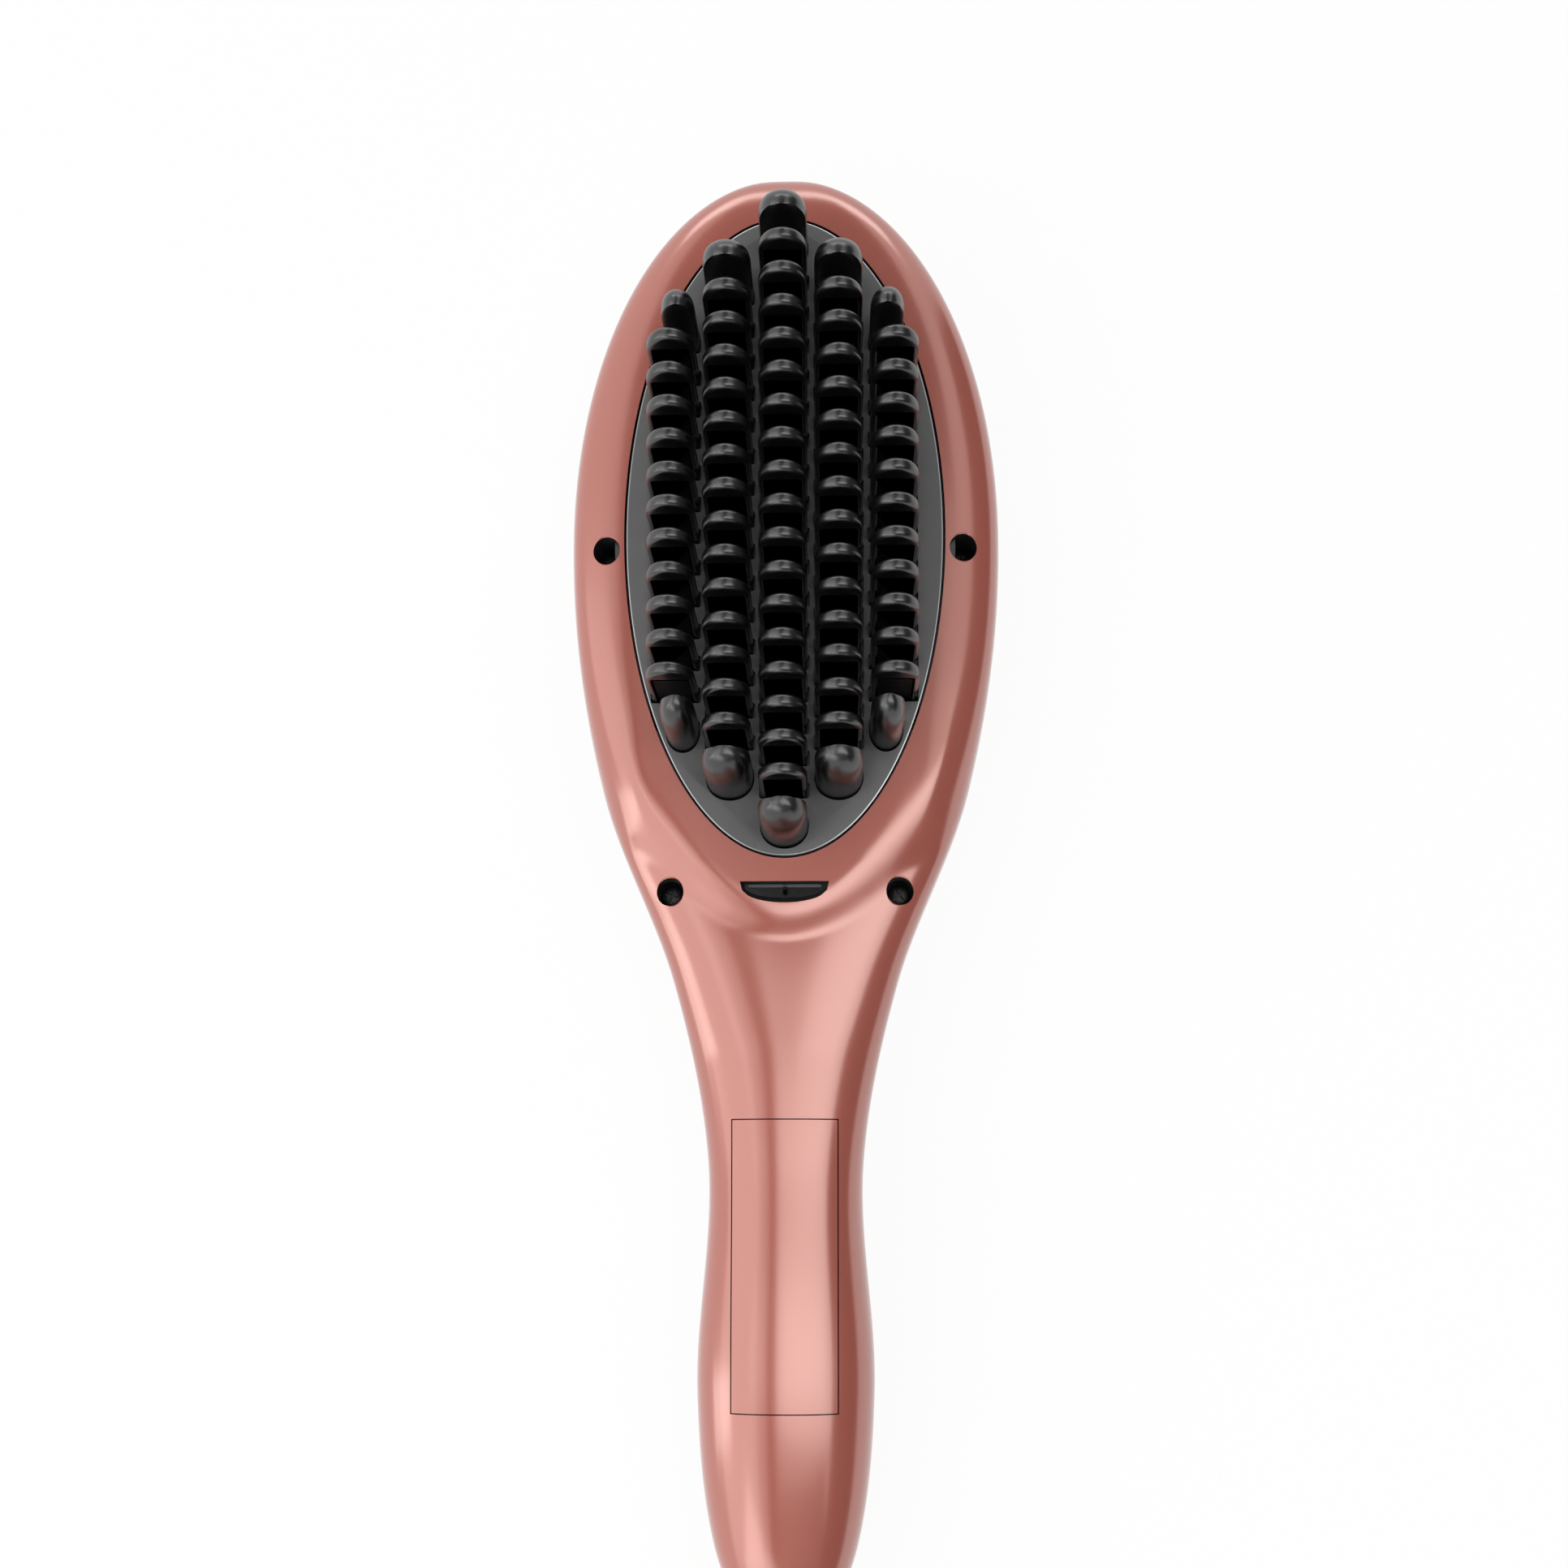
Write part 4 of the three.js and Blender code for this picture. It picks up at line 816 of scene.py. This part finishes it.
# Toothed plate: a grey injection-moulded oval that fills the deck, with a slot for every tooth.
# A fine polished chamfer runs round it, and its flange is trapped under the deck.
PLATE_SEAM = 0.35
PLATE_HALF_X = OVAL_HALF_X - PLATE_SEAM
PLATE_HALF_Y = OVAL_HALF_Y - PLATE_SEAM
PLATE_UNDER = 23.5
FLANGE_HIGH = 22.7
FLANGE_LOW = 21.2
SKIRT = 1.5
CHAMFER = 0.26
BELOW_PLATE = 20
COLUMN_PITCH = 9.18
OUTER_COLUMN = 2
TOOTH_PITCH = 5.46
TOOTH_WIDTH = 8.0
TOOTH_THICK = 2.2
LEG = 0.85
WINDOW_HALF = TOOTH_WIDTH / 2 - LEG
RAIL_LIP = 0.2
RAIL_HALF = (LEG + RAIL_LIP) / 2
RAIL_MIDDLE = WINDOW_HALF + RAIL_HALF
RAIL_LOW = 22.0
RAIL_HIGH = 23.2
THUMB_DEPTH = 3.0
NARROW_THUMB = 0.7 * TOOTH_WIDTH
SLOT_GAP = 0.25
THUMB_GAP = 0.15
teeth_in_column = {column: 19 - 3 * abs(column) for column in range(-OUTER_COLUMN, OUTER_COLUMN + 1)}
plate_grey = finish(
    "plate_grey", (0.11, 0.11, 0.112), (0.095, 0.095, 0.097), 0.38, 0.08, 60, 5200, 0.25,
    Specular_IOR_Level=0.5,
)
plate_edge = finish(
    "plate_edge", (0.36, 0.36, 0.36), (0.3, 0.3, 0.3), 0.25, 0.05, 90, 4200, 0.1,
    Metallic=0.9,
)


def thumb_width(column):
    return NARROW_THUMB if abs(column) == OUTER_COLUMN else TOOTH_WIDTH


def thumb_x(column):
    """Narrow thumbs keep to the side that faces the middle."""
    return column * COLUMN_PITCH - math.copysign((TOOTH_WIDTH - thumb_width(column)) / 2, column)


def tooth_y(column, index):
    return MIDDLE + ((teeth_in_column[column] - 1) / 2 - index) * TOOTH_PITCH


def thumb_plan(width, back, depth, end, steps=18):
    """Square towards the next tooth and half elliptical outwards."""
    points = []
    for i in range(steps + 1):
        angle = math.pi * i / steps
        points.append((width / 2 * math.cos(angle), end * (depth + back) * max(math.sin(angle), 0) ** 0.8))
    for i in range(1, 6):
        angle = math.pi + math.pi * i / 6
        across = math.copysign(abs(math.cos(angle)) ** 0.35, math.cos(angle))
        points.append((width / 2 * across, -end * back * abs(math.sin(angle)) ** 0.35))
    return points


plate = oval_post(PLATE_HALF_X, PLATE_HALF_Y, FLANGE_LOW, DECK)
top_rim = [e for e in plate.edges if all(v.co.z > DECK - 0.01 for v in e.verts)]
bmesh.ops.bevel(plate, geom=top_rim, offset=CHAMFER, segments=2, profile=0.5, affect="EDGES", material=1)
plate = carved(plate, oval_post(OVAL_HALF_X + FLANGE, OVAL_HALF_Y + FLANGE, FLANGE_LOW, FLANGE_HIGH), "UNION")
plate = carved(plate, oval_post(PLATE_HALF_X - SKIRT, PLATE_HALF_Y - SKIRT, BELOW_PLATE, PLATE_UNDER))
slots, channels = [], []
for column, count in teeth_in_column.items():
    for index in range(1, count - 1):
        x, y = column * COLUMN_PITCH, tooth_y(column, index)
        half_x = TOOTH_WIDTH / 2 + SLOT_GAP
        half_y = TOOTH_THICK / 2 + SLOT_GAP
        slot = block(x - half_x, x + half_x, y - half_y, y + half_y, BELOW_PLATE, DECK + 1)
        rounded_corner_plan(slot, 0.35, 3)
        slots.append(slot)
    for end in (-1, 1):
        outline = thumb_plan(thumb_width(column) + 2 * THUMB_GAP, TOOTH_THICK / 2 + THUMB_GAP,
                             THUMB_DEPTH + THUMB_GAP, end)
        hole = stacked([(outline, BELOW_PLATE), (outline, DECK + 1)])
        y = tooth_y(column, 0 if end > 0 else count - 1)
        bmesh.ops.translate(hole, verts=hole.verts, vec=(thumb_x(column), y, 0))
        slots.append(hole)
    for side in (-1, 1):
        x = column * COLUMN_PITCH + side * RAIL_MIDDLE
        half_x = RAIL_HALF + GAP
        channels.append(block(x - half_x, x + half_x, tooth_y(column, count - 1), tooth_y(column, 0),
                              BELOW_PLATE, PLATE_UNDER))
plate = carved(plate, joined(*slots))
plate = carved(plate, joined(*channels))
as_piece("toothed_plate", plate, (plate_grey, plate_edge), "brush_body", "plate_grey", "bristle_plate")

# Comb rows: five mouldings in black heat-resistant nylon, each a row of thin arches on two rails.
# The crowns are rounded both ways so that they glide, and a closed thumb ends each row.
teeth_black = finish(
    "teeth_black", (0.0025, 0.0025, 0.0027), (0.004, 0.004, 0.0043), 0.29, 0.05, 90, 4200, 0.04,
    IOR=1.8,
)
TOOTH_TOP = 42.0
CROWN_ARC = 5.5
LEG_MIDDLE = 30.0
WINDOW_TOP = TOOTH_TOP - 3.8
WINDOW_CORNER = 0.6
EDGE_ROUND = 0.85
TOOTH_BOW = 0.15
BOW_START = 26
BOW_RUN = 10
STRAIGHT_TOP = 31.0
THUMB_TURN = 88


def arch():
    """One tooth: a thin arch with an elliptical crown, open so that the heater's fin fits inside."""
    half = TOOTH_WIDTH / 2
    spring = TOOTH_TOP - CROWN_ARC
    outline = [(half, RAIL_LOW), (half, LEG_MIDDLE)]
    for i in range(29):
        turn = math.pi * i / 28
        outline.append((half * math.cos(turn), spring + CROWN_ARC * math.sin(turn)))
    outline += [(-half, LEG_MIDDLE), (-half, RAIL_LOW), (-WINDOW_HALF, RAIL_LOW)]
    for side in (-1, 1):
        corner = [(side * (WINDOW_HALF - WINDOW_CORNER * (1 - math.cos(a))),
                   WINDOW_TOP - WINDOW_CORNER * (1 - math.sin(a)))
                  for a in (math.radians(22.5 * k) for k in range(5))]
        outline += corner if side < 0 else corner[::-1]
    outline.append((WINDOW_HALF, RAIL_LOW))
    tooth = bmesh.new()
    near = tooth.faces.new([tooth.verts.new((x, -TOOTH_THICK / 2, z)) for x, z in outline])
    grown = bmesh.ops.extrude_face_region(tooth, geom=[near])["geom"]
    far = [g for g in grown if isinstance(g, bmesh.types.BMVert)]
    bmesh.ops.translate(tooth, verts=far, vec=(0, TOOTH_THICK, 0))
    bmesh.ops.recalc_face_normals(tooth, faces=tooth.faces)
    for side in (-1, 1):
        rim = [
            e for e in tooth.edges
            if all(side * v.co.y > TOOTH_THICK / 2 - 0.01 and v.co.z > DECK - 1
                   and (abs(v.co.x) > WINDOW_HALF + 0.1 or v.co.z > WINDOW_TOP + 0.1) for v in e.verts)
        ]
        bmesh.ops.bevel(tooth, geom=rim, offset=EDGE_ROUND, segments=5, profile=0.5, affect="EDGES",
                        material=-1)
    for vertex in tooth.verts:
        away = (vertex.co.y / TOOTH_THICK + 0.5) * ramp(vertex.co.z, BOW_START, BOW_RUN)
        vertex.co.y -= TOOTH_BOW * away * (vertex.co.x / half) ** 2
    return tooth


def thumb(width, end):
    """The closed tooth that ends a row, with the others' crown and a front rounded like a fingertip."""
    back = TOOTH_THICK / 2
    levels = [(thumb_plan(width, back, THUMB_DEPTH, end), z) for z in (RAIL_LOW, 28, STRAIGHT_TOP)]
    for i in range(1, 17):
        rise = math.sin(math.radians(THUMB_TURN * i / 16)) / math.sin(math.radians(THUMB_TURN))
        z = STRAIGHT_TOP + (TOOTH_TOP - STRAIGHT_TOP) * rise
        inner = back - 0.2 * rise**6
        front = (THUMB_DEPTH + back + 0.53) * max(1 - rise**2.4, 0) ** (1 / 2.4) - 0.53
        crown = max(z - (TOOTH_TOP - CROWN_ARC), 0) / CROWN_ARC
        half = width / 2 * max(1 - crown**2, 0.004) ** 0.5
        drawn = max(inner - front, 0) / 2
        plan = thumb_plan(2 * half, inner - drawn, front - inner + 2 * drawn, end)
        levels.append(([(x, y - end * drawn) for x, y in plan], z))
    return stacked(levels)


for column, count in teeth_in_column.items():
    x = column * COLUMN_PITCH
    row = arch()
    bmesh.ops.translate(row, verts=row.verts, vec=(x, tooth_y(column, 1), 0))
    first = row.verts[:] + row.edges[:] + row.faces[:]
    for index in range(2, count - 1):
        copied = bmesh.ops.duplicate(row, geom=first)["geom"]
        moved = [g for g in copied if isinstance(g, bmesh.types.BMVert)]
        bmesh.ops.translate(row, verts=moved, vec=(0, -TOOTH_PITCH * (index - 1), 0))
    ends = []
    for end in (-1, 1):
        y = tooth_y(column, 0 if end > 0 else count - 1)
        finger = thumb(thumb_width(column), end)
        bmesh.ops.translate(finger, verts=finger.verts, vec=(thumb_x(column), y, 0))
        ends.append(finger)
    rails = []
    for side in (-1, 1):
        outward = abs(column) == OUTER_COLUMN and side * column > 0
        inward = TOOTH_PITCH if outward else 0
        rail_x = x + side * RAIL_MIDDLE
        rails.append(block(rail_x - RAIL_HALF, rail_x + RAIL_HALF, tooth_y(column, count - 1) + inward,
                           tooth_y(column, 0) - inward, RAIL_LOW, RAIL_HIGH))
    row = carved(row, joined(*rails), "UNION")
    row = carved(row, joined(*ends), "UNION")
    number = column + 3
    as_piece(f"teeth_row_{number}", row, (teeth_black,), "brush_body", "teeth_black", f"comb_row_{number}",
             sharp=40)

# Ion outlet insert: a glossy black moulding behind the crescent in the deck, open over the needle.
gloss_black = finish(
    "gloss_black", (0.012, 0.012, 0.013), (0.018, 0.018, 0.019), 0.16, 0.05, 70, 3000, 0.06,
    Coat_Weight=0.4, Coat_Roughness=0.06,
)
INSERT_MOUTH_FLOOR = 21.3
INSERT_MOUTH_TOP = OUTLET_TOP - 0.2
insert_low, insert_high = cad_mm("ion_outlet")
outlet_insert = block(insert_low.x, insert_high.x, insert_low.y, insert_high.y, insert_low.z, insert_high.z)
rounded_corner_plan(outlet_insert, 1.0)
mouth_outline = [(6.3, INSERT_MOUTH_TOP)]
for k in range(1, 15):
    turn = math.radians(-12 * k)
    mouth_outline.append((6.2 * math.cos(turn), INSERT_MOUTH_TOP + 2.1 * math.sin(turn)))
mouth_outline.append((-6.3, INSERT_MOUTH_TOP))
insert_mouth = stacked([(mouth_outline, INSERT_MOUTH_FLOOR), (mouth_outline, 24)])
outlet_insert = carved(outlet_insert, insert_mouth)
needle_x, needle_y = middle_of("ion_emitter").xy
outlet_insert = carved(outlet_insert, post(0.8, 19, 24, needle_x, needle_y, 24))
as_piece("outlet_insert", outlet_insert, (gloss_black,), "brush_body", "gloss_black", "ion_outlet")

# Case screws: steel pan heads with a cross recess, sunk in the five wells of the deck. Their colour is
# near black, which is painted shade for the bottom of the deep wells.
steel = finish(
    "steel", (0.46, 0.46, 0.47), (0.38, 0.38, 0.39), 0.32, 0.12, 160, 6000, 0.2,
    Metallic=1.0,
)
# Near-black steel: on the case screws this dark colour is painted shade for their deep wells
black_steel_and_shade = finish(
    "black_steel_and_shade", (0.05, 0.05, 0.05), (0.035, 0.035, 0.035), 0.42, 0.12, 160, 6000, 0.2,
    Metallic=1.0,
)
SCREW_TIP, SCREW_TOP = (corner.z for corner in cad_mm("head_screw_1"))
HEAD_LOW = SCREW_TOP - SCREW_HEAD_HEIGHT
RECESS_LONG = 1.25
RECESS_THIN = 0.22
screw_profile = [
    (0, SCREW_TIP), (0.7, SCREW_TIP + 0.2), (SHANK_RADIUS, SCREW_TIP + 1.6), (SHANK_RADIUS, HEAD_LOW),
    (SCREW_HEAD_RADIUS, HEAD_LOW), (SCREW_HEAD_RADIUS, HEAD_LOW + 0.9), (1.85, HEAD_LOW + 1.25),
    (1.4, SCREW_TOP - 0.1), (0.7, SCREW_TOP), (0, SCREW_TOP),
]
for number, (x, y) in enumerate(well_places, 1):
    fastener = turned(screw_profile, 32, (x, y, 0))
    for half_x, half_y in ((RECESS_LONG, RECESS_THIN), (RECESS_THIN, RECESS_LONG)):
        bar = block(-half_x, half_x, -half_y, half_y, SCREW_TOP - 1, SCREW_TOP + 0.5)
        stopped_at = Matrix.Rotation(0.4 + number, 3, "Z")
        bmesh.ops.rotate(bar, verts=bar.verts, cent=(0, 0, 0), matrix=stopped_at)
        bmesh.ops.translate(bar, verts=bar.verts, vec=(x, y, 0))
        fastener = carved(fastener, bar)
    as_piece(f"well_screw_{number}", fastener, (black_steel_and_shade,), "brush_body", "steel", f"head_screw_{number}")


# Display lens: a smoked polycarbonate window let flush into the back of the neck.
smoked_lens = finish(
    "smoked_lens", (0.01, 0.011, 0.012), (0.014, 0.015, 0.016), 0.06, 0.03, 50, 2500, 0.02,
    Coat_Weight=1.0, Coat_Roughness=0.03,
)


def laid_on_back(part):
    """Lays a piece on the back: what was built over z = 0 follows the shell's surface."""
    for vertex in part.verts:
        vertex.co.z += back_height(vertex.co.x, MIDDLE - vertex.co.y)
    return part


LENS_THICK = 3.1
window = patch(LENS_HALF_X + INNER_LIP, LENS_Y - LENS_HALF_Y - INNER_LIP, LENS_Y + LENS_HALF_Y + INNER_LIP,
               back_height, 0.0, LENS_THICK, 36, 48)
lens_outline = block(-LENS_HALF_X, LENS_HALF_X, LENS_Y - LENS_HALF_Y, LENS_Y + LENS_HALF_Y, -1, 14)
rounded_corner_plan(lens_outline, 1.5)
window = carved(window, lens_outline, "INTERSECT")
as_piece("display_window", window, (smoked_lens,), "brush_body", "smoked_lens", "display_lens")

# Buttons: three glossy caps on the back of the neck, dished a little for the fingertip, each with a
# moulded sign: a broken ring for power, a plus and a minus for the heat. A lip keeps each inside.
PROUD = 0.6
SIGN_FLOOR = 0.35 - PROUD
SIGN_LOW = -2
STROKE_HALF = 0.22
STROKE_LONG = 1.2
LIP_HIGH = 3.1
STEM = 1.6
for name, radius in button_radii.items():
    y = middle_of(f"{name}_button").y
    stem_end = cad_mm(f"{name}_button")[1].z
    rise = stem_end - back_height(0, MIDDLE - y)
    profile = [
        (0, 0.12 - PROUD), (radius * 0.35, 0.1 - PROUD), (radius * 0.7, 0.02 - PROUD), (radius - 0.5, -PROUD),
        (radius - 0.2, 0.07 - PROUD), (radius - 0.05, 0.22 - PROUD), (radius, 0.42 - PROUD), (radius, 2.3),
        (radius + INNER_LIP, 2.4), (radius + INNER_LIP, LIP_HIGH), (STEM, LIP_HIGH), (STEM, rise), (0, rise),
    ]
    cap = turned(profile, 56)
    if name == "power":
        ring_profile = [(1.15, SIGN_LOW), (1.55, SIGN_LOW), (1.55, SIGN_FLOOR), (1.15, SIGN_FLOOR)]
        ring = turned(ring_profile + ring_profile[:1], 48)
        ring = carved(ring, block(-0.5, 0.5, 0.2, 2.2, -3, 1))
        signs = [ring, block(-0.2, 0.2, 0.45, 1.75, SIGN_LOW, SIGN_FLOOR)]
    else:
        signs = [block(-STROKE_LONG, STROKE_LONG, -STROKE_HALF, STROKE_HALF, SIGN_LOW, SIGN_FLOOR)]
    if name == "plus":
        signs.append(block(-STROKE_HALF, STROKE_HALF, -STROKE_LONG, STROKE_LONG, SIGN_LOW, SIGN_FLOOR))
    for sign in signs:
        cap = carved(cap, sign)
    bmesh.ops.translate(cap, verts=cap.verts, vec=(0, y, 0))
    cap = laid_on_back(cap)
    for vertex in cap.verts:
        vertex.co.z = min(vertex.co.z, stem_end)
    as_piece(f"{name}_cap", cap, (gloss_black,), f"{name}_button", "gloss_black", f"{name}_button")

# Swivel collar: a turned black ring at the end of the handle, with an open bore. Its flange turns in
# the groove of the case, and a sleeve runs on behind it.
COLLAR_START = cad_mm("cord_collar")[0].y
COLLAR_END = cad_mm("cord_collar")[1].y - COLLAR_START
COLLAR_BORE = 3.4
SLEEVE = COLLAR_BORE + 0.9
RING_LENGTH = 9.4
FLANGE_START = CASE_END + WALL + GAP - COLLAR_START
FLANGE_STOP = FLANGE_START + COLLAR_FLANGE_LENGTH
profile = [
    (COLLAR_BORE, 0), (4.9, 0), (5.3, 0.15), (5.5, 0.6), (6.35, 6.8), (6.55, 7.3), (6.6, 7.6), (6.6, 9.2),
    (6.45, RING_LENGTH), (COLLAR_NECK, RING_LENGTH), (COLLAR_NECK, FLANGE_START),
    (COLLAR_FLANGE, FLANGE_START), (COLLAR_FLANGE, FLANGE_STOP), (SLEEVE, FLANGE_STOP),
    (SLEEVE, COLLAR_END), (COLLAR_BORE, COLLAR_END), (COLLAR_BORE, 0),
]
placed = [(radius, COLLAR_START + along_axis) for radius, along_axis in profile]
collar = turned(placed, 72, (0, 0, JOINT), "Y")
as_piece("swivel_collar", collar, (gloss_black,), "cord_collar", "gloss_black", "cord_collar")
for kind in face_kinds:
    bpy.data.materials.remove(kind)

# What stays of the inside: the casting that heats the teeth, its moulded frame and silicone seal, the
# ceramic element, the electronics and their leads. All lie inside the closed case.
heater_black = finish(
    "heater_black", (0.004, 0.004, 0.004), (0.006, 0.006, 0.006), 0.6, 0.12, 120, 3600, 0.4,
    Specular_IOR_Level=0.12,
)
insulation = finish("insulation", (0.66, 0.62, 0.53), (0.58, 0.54, 0.45), 0.7, 0.1, 80, 2600, 0.3)
ceramic = finish("ceramic", (0.76, 0.73, 0.67), (0.70, 0.67, 0.60), 0.62, 0.1, 90, 4000, 0.35)
silicone = finish("silicone", (0.25, 0.03, 0.02), (0.20, 0.024, 0.017), 0.75, 0.08, 60, 1800, 0.2)
circuit_board = finish(
    "circuit_board", (0.012, 0.10, 0.045), (0.01, 0.075, 0.035), 0.45, 0.1, 140, 3200, 0.25,
)
wire_red = finish("wire_red", (0.45, 0.035, 0.015), (0.38, 0.03, 0.013), 0.5, 0.08, 100, 2200, 0.15)
wire_dark = finish("wire_dark", (0.015, 0.018, 0.025), (0.022, 0.025, 0.033), 0.5, 0.08, 100, 2200, 0.15)
inside = {
    heater_black: ["heater_plate"],
    insulation: ["insulating_frame", "ion_generator", "display_module", "swivel_retainer"],
    ceramic: ["heating_element", "thermistor"],
    silicone: ["plate_seal"],
    circuit_board: ["control_board"],
    wire_red: ["heater_lead_1"],
    wire_dark: ["heater_lead_2", "ion_lead"],
    steel: ["heater_clamp", "clamp_screw_1", "clamp_screw_2", "thermal_fuse", "power_switch",
            "plus_switch", "minus_switch", "handle_screw_1", "handle_screw_2"],
    black_steel_and_shade: ["ion_emitter"],
}
for material, names in inside.items():
    for name in names:
        nodes[name].data.materials.clear()
        nodes[name].data.materials.append(material)
